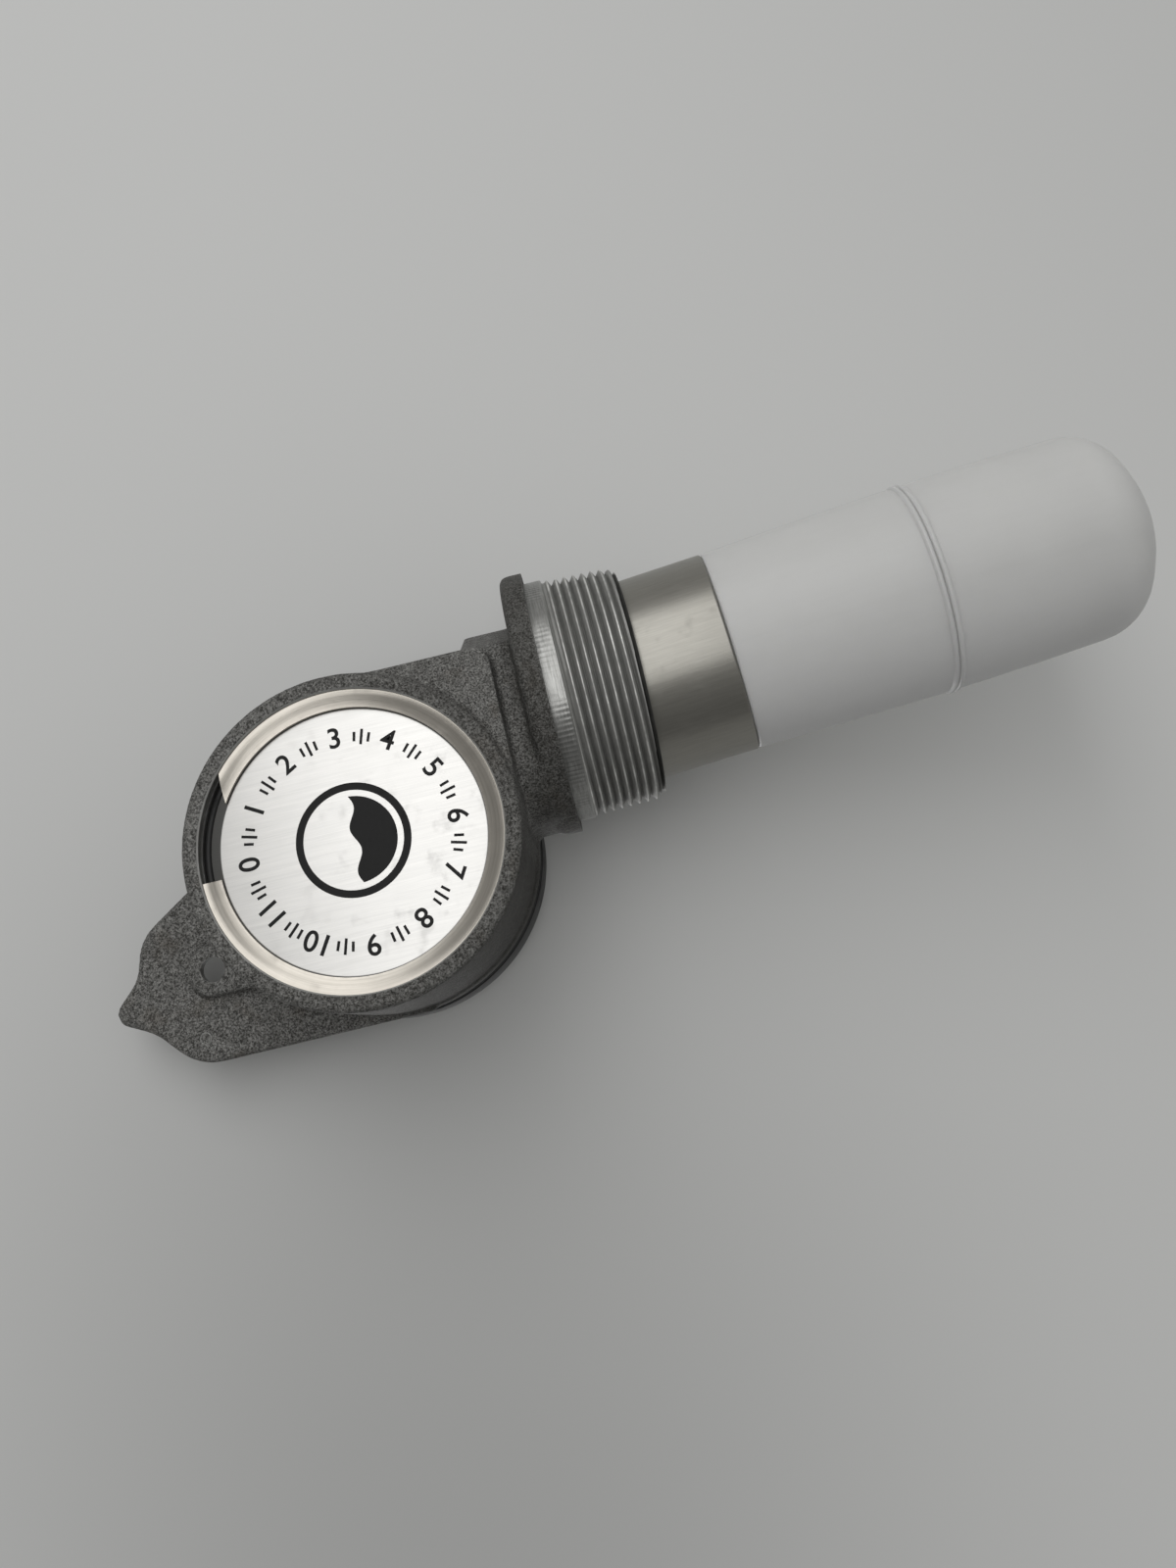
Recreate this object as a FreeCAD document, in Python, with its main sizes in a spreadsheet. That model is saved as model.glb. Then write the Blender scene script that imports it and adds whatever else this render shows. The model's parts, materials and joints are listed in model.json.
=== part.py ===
import FreeCAD, Part
import math
import os
import re
import Sketcher

# Tank level gauge with a float on a cable: a die-cast body that screws into a tank by its threaded neck,
# a spring-wound drum that takes in the cable, a clockwork reduction and a two-handed dial.
# Frame: millimetres, origin on the neck axis at the thread side of the flange, +Z up out of the tank,
# -Y towards the cover side, +Y towards the dial side.

# Driving dimensions
SIZES = {
    # body casting
    "housing_offset": 28.3,
    "housing_height": 49.3,
    "rim_wall": 3.9,
    "rim_round": 0.8,
    "back_ring_step": 0.5,
    "web_step": 2.0,
    "web_bottom": 11.0,
    "web_corner": 4.0,
    "web_inset": 0.8,
    "neck_step": 6.0,
    "neck_right": 21.5,
    "neck_right_front": 9.5,
    "neck_left": 31.5,
    "neck_round": 17.0,
    "neck_height": 18.0,
    "flange_step": 2.7,
    "flange_thickness": 5.7,
    "flange_round": 2.5,
    "pilot_step": 0.2,
    "pilot_length": 4.35,
    "nipple_length": 21.4,
    "neck_wall": 2.0,
    "neck_clearance": 1.5,
    "thread_pitch": 2.209,
    "thread_depth": 1.6,
    "thread_crest_flat": 0.25,
    "thread_count": 7,
    "thread_taper": 0.03125,
    "mouth_chamfer": 0.5,
    "neck_floor": 2.5,
    # side ear
    "ear_front": 2.0,
    "ear_thickness": 3.2,
    "ear_side": 39.0,
    "ear_hole_left": 17.1,
    "ear_hole_up": 46.0,
    "ear_hole_radius": 3.05,
    "ear_hole_wall": 2.2,
    "ear_recess_radius": 5.0,
    "ear_pad_radius": 6.5,
    "ear_pad_height": 1.8,
    # cover side
    "cover_ledge": 1.1,
    "cover_seat_depth": 7.6,
    "ring_inset": 0.8,
    "ring_thickness": 2.2,
    "ring_reach": 3.85,
    "ring_groove_depth": 1.2,
    "ring_gap_angle": 38.0,
    "ring_gap_direction": 75.0,
    "ring_bevel": 1.3,
    "label_depth": 3.1,
    "label_margin": 1.9,
    "label_thickness": 0.5,
    "cover_flange_thickness": 2.2,
    "cover_boss_radius": 6.0,
    "cover_boss_length": 4.4,
    "cover_boss_clearance": 1.0,
    "seat_clearance": 0.15,
    "seal_section": 1.7,
    # mechanism bay and drum
    "bay_clearance": 2.8,
    "channel_half_width": 12.0,
    "channel_centre": 4.0,
    "channel_front": 8.0,
    "channel_back": 5.0,
    "arbor_radius": 3.0,
    "arbor_socket": 5.6,
    "running_clearance": 0.05,
    "bush_wall": 1.35,
    "cable_radius": 0.4,
    "cable_turns": 8,
    "cable_pitch": 0.85,
    "drum_flange": 1.9,
    "drum_flange_thickness": 1.0,
    "drum_rim_wall": 2.4,
    "drum_web": 1.6,
    "drum_groove_clearance": 0.1,
    "barrel_radius": 23.0,
    "barrel_wall": 1.4,
    "hub_radius": 5.6,
    "spring_clearance": 2.2,
    "barrel_overhang": 1.4,
    "spring_width": 8.6,
    "spring_strip": 0.35,
    "spring_pitch": 1.6,
    "spring_coils": 12,
    "lead_drop": 3.0,
    # reduction gearing
    "tooth_module": 0.5,
    "drum_teeth": 28,
    "transfer_teeth": 48,
    "relay_teeth": 38,
    "drum_gear_clearance": 0.475,
    "gear_gap": 0.6,
    "plate_gear_clearance": 0.8,
    "gear_width": 1.4,
    "second_gear_width": 1.2,
    "transfer_hub_radius": 2.5,
    "stud_radius": 1.0,
    "inch_arbor_radius": 1.5,
    "inch_pivot_radius": 0.75,
    "inch_pivot_length": 2.0,
    # motion work behind the dial
    "cannon_teeth": 12,
    "motion_teeth": 36,
    "motion_pinion_teeth": 10,
    "foot_teeth": 40,
    "motion_clearance": 1.2,
    "motion_gear_width": 1.0,
    "foot_gear_gap": 0.7,
    "motion_stud_radius": 0.8,
    "motion_stud_end": 0.5,
    "motion_pinion_wall": 0.6,
    "foot_pipe_wall": 1.0,
    # dial side
    "plate_thickness": 2.0,
    "pillar_height": 5.2,
    "pillar_radius": 1.8,
    "pillar_inset": 4.95,
    "pillar_count": 3,
    "dial_margin": 0.7,
    "dial_thickness": 0.7,
    "dial_hole_radius": 3.2,
    "lens_ring_height": 2.7,
    "lens_ring_wall": 1.1,
    "lens_thickness": 2.0,
    "bezel_bore_step": 0.4,
    "bezel_wall": 4.3,
    "bezel_lip": 3.0,
    "bezel_lip_thickness": 1.6,
    "bezel_round": 1.0,
    "gasket_thickness": 0.8,
    "screw_inset": 2.1,
    "screw_radius": 1.2,
    "screw_depth": 6.0,
    "screw_count": 4,
    "screw_head_radius": 2.2,
    "screw_head_height": 1.3,
    "foot_hand_gap": 0.6,
    "inch_hand_gap": 1.6,
    "hand_thickness": 0.4,
    "inch_hand_margin": 6.8,
    "foot_hand_margin": 16.8,
    "inch_hand_half_width": 1.3,
    "foot_hand_half_width": 1.6,
    "hand_tip_half_width": 0.25,
    "hand_collet_wall": 1.4,
    "dial_screw_reach": 3.0,
    "dial_screw_head_height": 0.6,
    "hand_cap_height": 0.6,
    # float
    "sleeve_radius": 25.0,
    "sleeve_wall": 1.5,
    "sleeve_engaged": 14.0,
    "sleeve_below": 24.5,
    "sleeve_edge": 0.5,
    "mouth_offset": 0.5,
    "lean_gap": 0.35,
    "lean_heading": -66.9,
    "spigot_top": 9.8,
    "float_wall": 2.0,
    "float_shoulder_radius": 24.9,
    "weld_radius": 25.6,
    "weld_depth": 73.5,
    "weld_bead": 0.5,
    "weld_bead_width": 0.9,
    "float_end_radius": 24.6,
    "float_end_depth": 126.3,
    "float_end_round": 12.5,
    "float_end_bulge": 7.8,
    "float_dome_radius": 9.85,
    "float_dome_round": 20.0,
    "cap_thickness": 1.5,
    "eye_shank_radius": 2.0,
    "eye_nut_flats": 7.0,
    "eye_nut_height": 3.0,
    "eye_height": 19.5,
    "eye_ring_radius": 3.5,
    "eye_wire_radius": 1.2,
    "ferrule_half_depth": 1.05,
    "ferrule_wall": 0.5,
    "ferrule_length": 8.0,
    "ferrule_gap": 1.2,
}

# Sizes that follow from others: the neck is built round the sleeve, the housing round the drum,
# and each side's pieces round the bore
WORKED_OUT = {
    "neck_bore": "sleeve_radius + neck_clearance",
    "thread_crest_radius": "neck_bore + neck_wall + thread_depth",
    "pilot_radius": "thread_crest_radius + pilot_step",
    "flange_radius": "pilot_radius + flange_step",
    "bay_radius": "housing_offset + drum_flange + bay_clearance",
    "cover_bore_radius": "bay_radius + cover_ledge",
    "housing_radius": "cover_bore_radius + rim_wall",
    "back_ring_radius": "housing_radius + back_ring_step",
    "ring_inner_radius": "cover_bore_radius - ring_reach",
    "label_radius": "cover_bore_radius - label_margin",
    "plate_radius": "cover_bore_radius - seat_clearance",
    "pillar_circle": "plate_radius - pillar_inset",
    "screw_circle": "cover_bore_radius + screw_inset",
    "bezel_bore_radius": "cover_bore_radius + bezel_bore_step",
    "bezel_radius": "bezel_bore_radius + bezel_wall",
    "bezel_lip_radius": "bezel_bore_radius - bezel_lip",
    "dial_radius": "bezel_bore_radius - dial_margin",
    "inch_hand_length": "dial_radius - inch_hand_margin",
    "foot_hand_length": "dial_radius - foot_hand_margin",
    "winding_width": "cable_turns * cable_pitch",
    "spring_front": "winding_width + spring_clearance + spring_width",
    "drum_front": "spring_front + barrel_overhang",
    "rim_front": "drum_front + cover_boss_clearance + cover_boss_length + cover_seat_depth",
    "web_front": "rim_front - web_step",
    "neck_front": "rim_front - neck_step",
    "drum_back": "cable_pitch / 2 + drum_flange_thickness + drum_groove_clearance",
    "first_gear_at": "drum_back + drum_gear_clearance",
    "arbor_end": "first_gear_at + gear_width",
    "second_gear_at": "first_gear_at + gear_width + gear_gap",
    "plate_front": "second_gear_at + second_gear_width + plate_gear_clearance",
    "casting_back": "plate_front + plate_thickness",
    "motion_gear_at": "casting_back + motion_clearance",
    "foot_gear_at": "motion_gear_at + motion_gear_width + foot_gear_gap",
    "dial_front": "casting_back + pillar_height",
    "dial_back": "dial_front + dial_thickness",
    "lens_front": "dial_back + lens_ring_height",
    "lens_back": "lens_front + lens_thickness",
    "bezel_back": "lens_back + bezel_lip_thickness",
    "gear_reach": "tooth_module * (drum_teeth + transfer_teeth) / 2",
    "motion_reach": "tooth_module * (cannon_teeth + motion_teeth) / 2",
}

V = FreeCAD.Vector
doc = FreeCAD.newDocument("TankLevelGauge")
sheet = doc.addObject("Spreadsheet::Sheet", "Sizes")
for row, (alias, value) in enumerate(SIZES.items(), start=1):
    sheet.set("A%d" % row, alias.replace("_", " "))
    sheet.set("B%d" % row, str(value))
    sheet.setAlias("B%d" % row, alias)
doc.recompute()


def bound(text):
    """The text of an expression, with each size name pointed at its cell."""
    def pointed(word):
        name = word.group()
        if name in WORKED_OUT:
            return "(%s)" % bound(WORKED_OUT[name])
        return "Sizes." + name if name in SIZES else name

    return re.sub(r"[a-z_]{3,}", pointed, str(text))


def number(text):
    """The present value of an expression."""
    return float(sheet.evalExpression(bound(text)))


# Places that several pieces share, as expressions of the sizes
HOUSING_X = "-housing_offset"
COVER_SEAT = "-(rim_front - cover_seat_depth)"
RING_BACK = "-(rim_front - ring_inset - ring_thickness)"
LABEL_FRONT = "-(rim_front - label_depth)"
LABEL_BACK = "-(rim_front - label_depth - label_thickness)"
COVER_STEP = "-(rim_front - cover_seat_depth + cover_flange_thickness)"
LEAN = "atan((mouth_offset + neck_clearance - lean_gap) / sleeve_engaged)"
DRUM_FLOOR = "housing_offset - cable_radius - running_clearance"
WINDING_FRONT = "-(cable_turns * cable_pitch)"


def place(item, east="0", depth="0", height="0"):
    """Bind a piece's place to the sizes."""
    item.setExpression("Placement.Base.x", bound(east))
    item.setExpression("Placement.Base.y", bound(depth))
    item.setExpression("Placement.Base.z", bound(height))
    return item


def on_housing_axis(item):
    return place(item, HOUSING_X, "0", "housing_height")


def heading(turn=None):
    """A turn about the neck axis towards the side the float leans to, before or after another turn."""
    towards = FreeCAD.Rotation(V(0, 0, 1), number("lean_heading"))
    return towards.multiply(turn) if turn else towards


def on_float(item):
    """Hang a float piece from the neck's mouth, leaning as far as the neck lets the sleeve."""
    lean = FreeCAD.Rotation(V(0, -1, 0), number(LEAN))
    item.Placement = FreeCAD.Placement(V(0, 0, 0), heading(lean))
    return place(item, "mouth_offset * cos(lean_heading)", "mouth_offset * sin(lean_heading)",
                 "-nipple_length")


def origin_plane(body, role):
    return next(item for item in body.Origin.OriginFeatures if item.Role == role)


def outline(sketch, corners):
    """Close a loop of lines through corners (x, y) and rounded corners (x, y, radius), all bound to sizes."""
    here = [V(number(corner[0]), number(corner[1]), 0) for corner in corners]
    count = len(corners)
    starts = list(here)
    ends = list(here)
    arcs = {}
    for index, corner in enumerate(corners):
        if len(corner) == 2:
            continue
        radius = number(corner[2])
        into = (here[index] - here[index - 1]).normalize()
        away = (here[(index + 1) % count] - here[index]).normalize()
        turn = math.atan2(into.x * away.y - into.y * away.x, into.dot(away))
        reach = radius * math.tan(abs(turn) / 2)
        ends[index] = here[index] - into * reach
        starts[index] = here[index] + away * reach
        side = math.copysign(1, turn)
        centre = ends[index] + V(-into.y, into.x, 0) * radius * side
        arcs[index] = (centre, radius, side)
    for index in range(count):
        sketch.addGeometry(Part.LineSegment(starts[index], ends[(index + 1) % count]), False)
    for index, corner in enumerate(corners):
        before = (index - 1) % count
        if index in arcs:
            centre, radius, side = arcs[index]
            first, last = (ends[index], starts[index]) if side > 0 else (starts[index], ends[index])
            circle = Part.Circle(centre, V(0, 0, 1), radius)
            arc = sketch.addGeometry(
                Part.ArcOfCircle(circle, circle.parameter(first), circle.parameter(last)), False)
            tip = sketch.addGeometry(Part.Point(here[index]), True)
            arc_start, arc_end = (1, 2) if side > 0 else (2, 1)
            sketch.addConstraint(Sketcher.Constraint("Tangent", before, 2, arc, arc_start))
            sketch.addConstraint(Sketcher.Constraint("Tangent", arc, arc_end, index, 1))
            sketch.addConstraint(Sketcher.Constraint("PointOnObject", tip, 1, before))
            sketch.addConstraint(Sketcher.Constraint("PointOnObject", tip, 1, index))
            rounding = sketch.addConstraint(Sketcher.Constraint("Radius", arc, radius))
            sketch.setExpression("Constraints[%d]" % rounding, bound(corner[2]))
            pinned = tip
        else:
            sketch.addConstraint(Sketcher.Constraint("Coincident", before, 2, index, 1))
            pinned = index
        for kind, axis, value, text in (("DistanceX", -2, here[index].x, corner[0]),
                                        ("DistanceY", -1, here[index].y, corner[1])):
            if text == "0":
                sketch.addConstraint(Sketcher.Constraint("PointOnObject", pinned, 1, axis))
            else:
                row = sketch.addConstraint(Sketcher.Constraint(kind, -1, 1, pinned, 1, value))
                sketch.setExpression("Constraints[%d]" % row, bound(text))


def sketched_body(label, role, corners):
    body = doc.addObject("PartDesign::Body", label)
    sketch = body.newObject("Sketcher::SketchObject", label + "_sketch")
    sketch.AttachmentSupport = [(origin_plane(body, role), "")]
    sketch.MapMode = "FlatFace"
    outline(sketch, corners)
    return body, sketch


def turned(label, role, corners):
    """A piece turned from corners (radius, place along the axis), about Y on XY_Plane, about Z on XZ_Plane."""
    body, sketch = sketched_body(label, role, corners)
    turning = body.newObject("PartDesign::Revolution", label + "_turning")
    turning.Profile = sketch
    turning.ReferenceAxis = (sketch, ["V_Axis"])
    turning.Angle = 360
    body.Tip = turning
    return body


def turned_on_housing(label, corners):
    return on_housing_axis(turned(label, "XY_Plane", corners))


def ring_on_housing(label, inner, outer, front, back):
    """A plain ring about the housing axis, from one depth to another."""
    return turned_on_housing(label, [(inner, front), (outer, front), (outer, back), (inner, back)])


def plate_between(label, corners, front, back):
    """A plate with an outline in the XZ plane, from one depth to another."""
    body, sketch = sketched_body(label, "XZ_Plane", corners)
    pad = body.newObject("PartDesign::Pad", label + "_pad")
    pad.Profile = sketch
    pad.Reversed = True
    pad.setExpression("Length", bound("(%s) - (%s)" % (back, front)))
    body.Tip = pad
    body.setExpression("Placement.Base.y", bound(front))
    return body


def rod(label, radius, length, east="0", depth="0", height="0", along="Y"):
    item = doc.addObject("Part::Cylinder", label)
    item.setExpression("Radius", bound(radius))
    item.setExpression("Height", bound(length))
    if along == "Y":
        item.Placement = FreeCAD.Placement(V(0, 0, 0), FreeCAD.Rotation(V(1, 0, 0), -90))
    return place(item, east, depth, height)


def fused(label, pieces):
    item = doc.addObject("Part::MultiFuse", label)
    item.Shapes = pieces
    return item


def cut(label, base, tools):
    item = doc.addObject("Part::Cut", label)
    item.Base = base
    item.Tool = tools[0] if len(tools) == 1 else fused(label + "_cuts", tools)
    return item


def around(radius, count, index, start=45.0):
    """Expressions for the offsets of one of several places on a circle about the housing axis."""
    angle = "(%g + 360 * %d / %s)" % (start, index, count)
    return ("-housing_offset + %s * cos(%s)" % (radius, angle),
            "housing_height + %s * sin(%s)" % (radius, angle))


def made_in_code(label, shape, east="0", depth="0", height="0"):
    item = doc.addObject("Part::Feature", label)
    item.Shape = shape
    return place(item, east, depth, height)


# Body casting: the raw form
thread = [("0", "-nipple_length"),
          ("thread_crest_radius - thread_depth - nipple_length * thread_taper", "-nipple_length")]
for turn in reversed(range(int(number("thread_count")))):
    valley = "-(pilot_length + thread_pitch * %g)" % (turn + 1)
    for shift in ("-thread_crest_flat / 2", "+ thread_crest_flat / 2"):
        level = "-(pilot_length + thread_pitch * %g) %s" % (turn + 0.5, shift)
        if shift.startswith("-"):
            thread.append(("thread_crest_radius - thread_depth + (%s) * thread_taper" % valley, valley))
        thread.append(("thread_crest_radius + (%s) * thread_taper" % level, level))
thread.append(("thread_crest_radius - thread_depth", "-pilot_length"))
nipple = turned("nipple", "XZ_Plane", thread + [
    ("pilot_radius", "-pilot_length"),
    ("pilot_radius", "0"),
    ("flange_radius", "0"),
    ("flange_radius", "flange_thickness", "flange_round"),
    ("0", "flange_thickness")])

neck_block, neck_sketch = sketched_body("neck_block", "XY_Plane", [
    ("-neck_left", "-neck_front", "neck_round"),
    ("neck_right_front", "-neck_front", "rim_round * 2"),
    ("neck_right", "-2", "neck_round / 2"),
    ("neck_right", "casting_back"),
    ("-neck_left", "casting_back")])
neck_pad = neck_block.newObject("PartDesign::Pad", "neck_pad")
neck_pad.Profile = neck_sketch
neck_pad.setExpression("Length", bound("neck_height - flange_thickness / 2"))
neck_block.Tip = neck_pad
place(neck_block, "0", "0", "flange_thickness / 2")

web_block = plate_between("web_block", [
    (HOUSING_X, "web_bottom"),
    ("housing_radius - housing_offset - web_inset", "web_bottom", "web_corner"),
    ("housing_radius - housing_offset - web_inset", "housing_height"),
    (HOUSING_X, "housing_height")], "-web_front", "casting_back")

housing_drum = turned_on_housing("housing_drum", [
    ("0", "-rim_front"),
    ("housing_radius", "-rim_front", "rim_round"),
    ("housing_radius", "ear_front"),
    ("back_ring_radius", "ear_front"),
    ("back_ring_radius", "casting_back"),
    ("0", "casting_back")])

ear_plate = on_housing_axis(plate_between("ear_plate", [
    ("-ear_side", "-5"),
    ("-ear_side", "ear_hole_up + 7.8", "13"),
    ("-ear_hole_left - 11.8", "ear_hole_up + 17.2", "12"),
    ("-ear_hole_left - 7.9", "ear_hole_up + 25.0", "2.8"),
    ("-ear_hole_left - 4.5", "ear_hole_up + 26.0", "2.8"),
    ("-ear_hole_left + 2.1", "ear_hole_up + 19.6", "9"),
    ("-ear_hole_left + 11.9", "ear_hole_up + 17.4", "11"),
    ("-ear_hole_left + 31.1", "ear_hole_up - 11.6"),
    ("0", "0")], "ear_front", "ear_front + ear_thickness"))
ear_plate.setExpression("Placement.Base.y", bound("ear_front"))

ear_pad = on_housing_axis(plate_between("ear_pad", [
    ("-ear_hole_left - ear_pad_radius", "ear_hole_up - 18"),
    ("-ear_hole_left + ear_pad_radius", "ear_hole_up - 18"),
    ("-ear_hole_left + ear_pad_radius", "ear_hole_up + ear_pad_radius", "ear_pad_radius - 0.1"),
    ("-ear_hole_left - ear_pad_radius", "ear_hole_up + ear_pad_radius", "ear_pad_radius - 0.1")],
    "ear_front - ear_pad_height", "ear_front + 1"))
ear_pad.setExpression("Placement.Base.y", bound("ear_front - ear_pad_height"))

# Body casting: what is machined out of it
mechanism_bore = turned_on_housing("mechanism_bore", [
    ("0", "-rim_front - 1"),
    ("cover_bore_radius", "-rim_front - 1"),
    ("cover_bore_radius", "-(rim_front - ring_inset)"),
    ("cover_bore_radius + ring_groove_depth", "-(rim_front - ring_inset)"),
    ("cover_bore_radius + ring_groove_depth", RING_BACK),
    ("cover_bore_radius", RING_BACK),
    ("cover_bore_radius", COVER_SEAT),
    ("bay_radius", COVER_SEAT),
    ("bay_radius", "plate_front"),
    ("plate_radius + seat_clearance", "plate_front"),
    ("plate_radius + seat_clearance", "casting_back + 1"),
    ("0", "casting_back + 1")])

neck_bore = turned("neck_bore", "XZ_Plane", [
    ("0", "-nipple_length - 1"),
    ("%s + mouth_chamfer + 1" % "neck_bore", "-nipple_length - 1"),
    ("neck_bore", "-nipple_length + mouth_chamfer"),
    ("neck_bore", "neck_floor"),
    ("0", "neck_floor")])

cable_channel = doc.addObject("Part::Box", "cable_channel")
cable_channel.setExpression("Length", bound("2 * channel_half_width"))
cable_channel.setExpression("Width", bound("channel_front + channel_back"))
cable_channel.setExpression("Height", bound("housing_height - neck_floor"))
place(cable_channel, "-channel_centre - channel_half_width", "-channel_front", "neck_floor - 0.5")

ear_hole = rod("ear_hole", "ear_hole_radius", "casting_back + 10",
               "-housing_offset - ear_hole_left", "-5", "housing_height + ear_hole_up")
ear_recess = rod("ear_recess", "ear_recess_radius", "ear_thickness + 1", "-housing_offset - ear_hole_left",
                 "ear_front - ear_pad_height + ear_hole_wall", "housing_height + ear_hole_up")
casting_cuts = [mechanism_bore, neck_bore, cable_channel, ear_hole, ear_recess]
for index in range(int(number("screw_count"))):
    east, height = around("screw_circle", "screw_count", index)
    casting_cuts.append(rod("screw_hole_%d" % (index + 1), "screw_radius + running_clearance",
                            "screw_depth + 1", east, "casting_back - screw_depth", height))
raw_casting = fused("raw_casting", [nipple, neck_block, web_block, housing_drum, ear_plate, ear_pad])
gauge_body = cut("gauge_body", raw_casting, casting_cuts)

# Cover side: label plate, cover, seal and the open retaining ring that holds them in
label_plate = ring_on_housing("label_plate", "0", "label_radius", LABEL_FRONT, LABEL_BACK)

side_cover = turned_on_housing("side_cover", [
    ("0", LABEL_BACK),
    ("label_radius", LABEL_BACK),
    ("label_radius", COVER_STEP),
    ("cover_bore_radius - seat_clearance", COVER_STEP),
    ("cover_bore_radius - seat_clearance", COVER_SEAT),
    ("cover_boss_radius", COVER_SEAT),
    ("cover_boss_radius", "%s + cover_boss_length" % COVER_SEAT, "rim_round"),
    ("arbor_radius", "%s + cover_boss_length" % COVER_SEAT),
    ("arbor_radius", "%s + cover_boss_length - arbor_socket" % COVER_SEAT),
    ("0", "%s + cover_boss_length - arbor_socket" % COVER_SEAT)])

cover_seal = doc.addObject("Part::Torus", "cover_seal")
cover_seal.setExpression("Radius1", bound("cover_bore_radius - seal_section / 2 - 0.02"))
cover_seal.setExpression("Radius2", bound("seal_section / 2"))
cover_seal.Placement = FreeCAD.Placement(V(0, 0, 0), FreeCAD.Rotation(V(1, 0, 0), -90))
place(cover_seal, HOUSING_X, "%s - seal_section / 2 - 0.05" % COVER_STEP, "housing_height")

full_ring = turned_on_housing("full_ring", [
    ("ring_inner_radius", "%s - ring_thickness + ring_bevel" % RING_BACK),
    ("ring_inner_radius + ring_bevel * 2", "%s - ring_thickness" % RING_BACK),
    ("cover_bore_radius + ring_groove_depth - seat_clearance", "%s - ring_thickness" % RING_BACK),
    ("cover_bore_radius + ring_groove_depth - seat_clearance", RING_BACK),
    ("ring_inner_radius", RING_BACK)])
ring_opening, ring_opening_sketch = sketched_body("ring_opening", "XZ_Plane", [
    ("0", "0"),
    ("housing_radius * 1.2 * cos(ring_gap_direction - ring_gap_angle / 2)",
     "housing_radius * 1.2 * sin(ring_gap_direction - ring_gap_angle / 2)"),
    ("housing_radius * 1.2 * cos(ring_gap_direction + ring_gap_angle / 2)",
     "housing_radius * 1.2 * sin(ring_gap_direction + ring_gap_angle / 2)")])
opening_pad = ring_opening.newObject("PartDesign::Pad", "ring_opening_pad")
opening_pad.Profile = ring_opening_sketch
opening_pad.Reversed = True
opening_pad.setExpression("Length", bound("ring_thickness + 2"))
ring_opening.Tip = opening_pad
place(ring_opening, HOUSING_X, "%s - ring_thickness - 1" % RING_BACK, "housing_height")
retaining_ring = cut("retaining_ring", full_ring, [ring_opening])

# Arbor, drum and power spring
main_arbor = turned_on_housing("main_arbor", [
    ("0", "%s + cover_boss_length - arbor_socket" % COVER_SEAT),
    ("arbor_radius", "%s + cover_boss_length - arbor_socket" % COVER_SEAT),
    ("arbor_radius", "arbor_end"),
    ("inch_pivot_radius + running_clearance", "arbor_end"),
    ("inch_pivot_radius + running_clearance", "arbor_end - inch_pivot_length - 0.2"),
    ("0", "arbor_end - inch_pivot_length - 0.2")])

drum_bush = ring_on_housing("drum_bush", "arbor_radius + running_clearance",
                            "arbor_radius + running_clearance + bush_wall",
                            WINDING_FRONT, "first_gear_at + gear_width - 0.2")

cable_drum = turned_on_housing("cable_drum", [
    ("arbor_radius + running_clearance + bush_wall", WINDING_FRONT),
    ("barrel_radius", WINDING_FRONT),
    ("barrel_radius", "-drum_front"),
    ("barrel_radius + barrel_wall", "-drum_front"),
    ("barrel_radius + barrel_wall", "%s - drum_flange_thickness" % WINDING_FRONT),
    ("housing_offset + drum_flange", "%s - drum_flange_thickness" % WINDING_FRONT),
    ("housing_offset + drum_flange", WINDING_FRONT),
    (DRUM_FLOOR, WINDING_FRONT),
    (DRUM_FLOOR, "cable_pitch / 2 + drum_groove_clearance"),
    ("housing_offset + drum_flange", "cable_pitch / 2 + drum_groove_clearance"),
    ("housing_offset + drum_flange", "drum_back"),
    ("%s - drum_rim_wall" % DRUM_FLOOR, "drum_back"),
    ("%s - drum_rim_wall" % DRUM_FLOOR, "%s + drum_web" % WINDING_FRONT),
    ("hub_radius", "%s + drum_web" % WINDING_FRONT),
    ("hub_radius", "first_gear_at + gear_width"),
    ("arbor_radius + running_clearance + bush_wall", "first_gear_at + gear_width")])

# The wound turns, as rounded ridges side by side; the last groove is left to the cable's leaving turn
winding_points = [(DRUM_FLOOR, "%s + 0.05" % WINDING_FRONT)]
wound_turns = int(number("cable_turns")) - 1
for turn in range(wound_turns):
    middle = "%s + cable_pitch * %g" % (WINDING_FRONT, turn + 0.5)
    winding_points += [("housing_offset + cable_radius / 2", "%s - cable_radius * 0.9" % middle),
                       ("housing_offset + cable_radius", "%s - cable_radius * 0.3" % middle),
                       ("housing_offset + cable_radius", "%s + cable_radius * 0.3" % middle),
                       ("housing_offset + cable_radius / 2", "%s + cable_radius * 0.9" % middle)]
winding_points.append((DRUM_FLOOR, "%s + cable_pitch * %d" % (WINDING_FRONT, wound_turns)))
cable_winding = turned_on_housing("cable_winding", winding_points)

lead_arc = doc.addObject("Part::Torus", "lead_arc")
lead_arc.setExpression("Radius1", bound("housing_offset"))
lead_arc.setExpression("Radius2", bound("cable_radius"))
lead_arc.Angle3 = 60
lead_arc.Placement = FreeCAD.Placement(V(0, 0, 0), FreeCAD.Rotation(V(1, 0, 0), 90))
place(lead_arc, HOUSING_X, "0", "housing_height")
lead_drop = rod("lead_drop", "cable_radius", "lead_drop", "0", "0", "housing_height - lead_drop", along="Z")
cable_lead = fused("cable_lead", [lead_arc, lead_drop])

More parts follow.
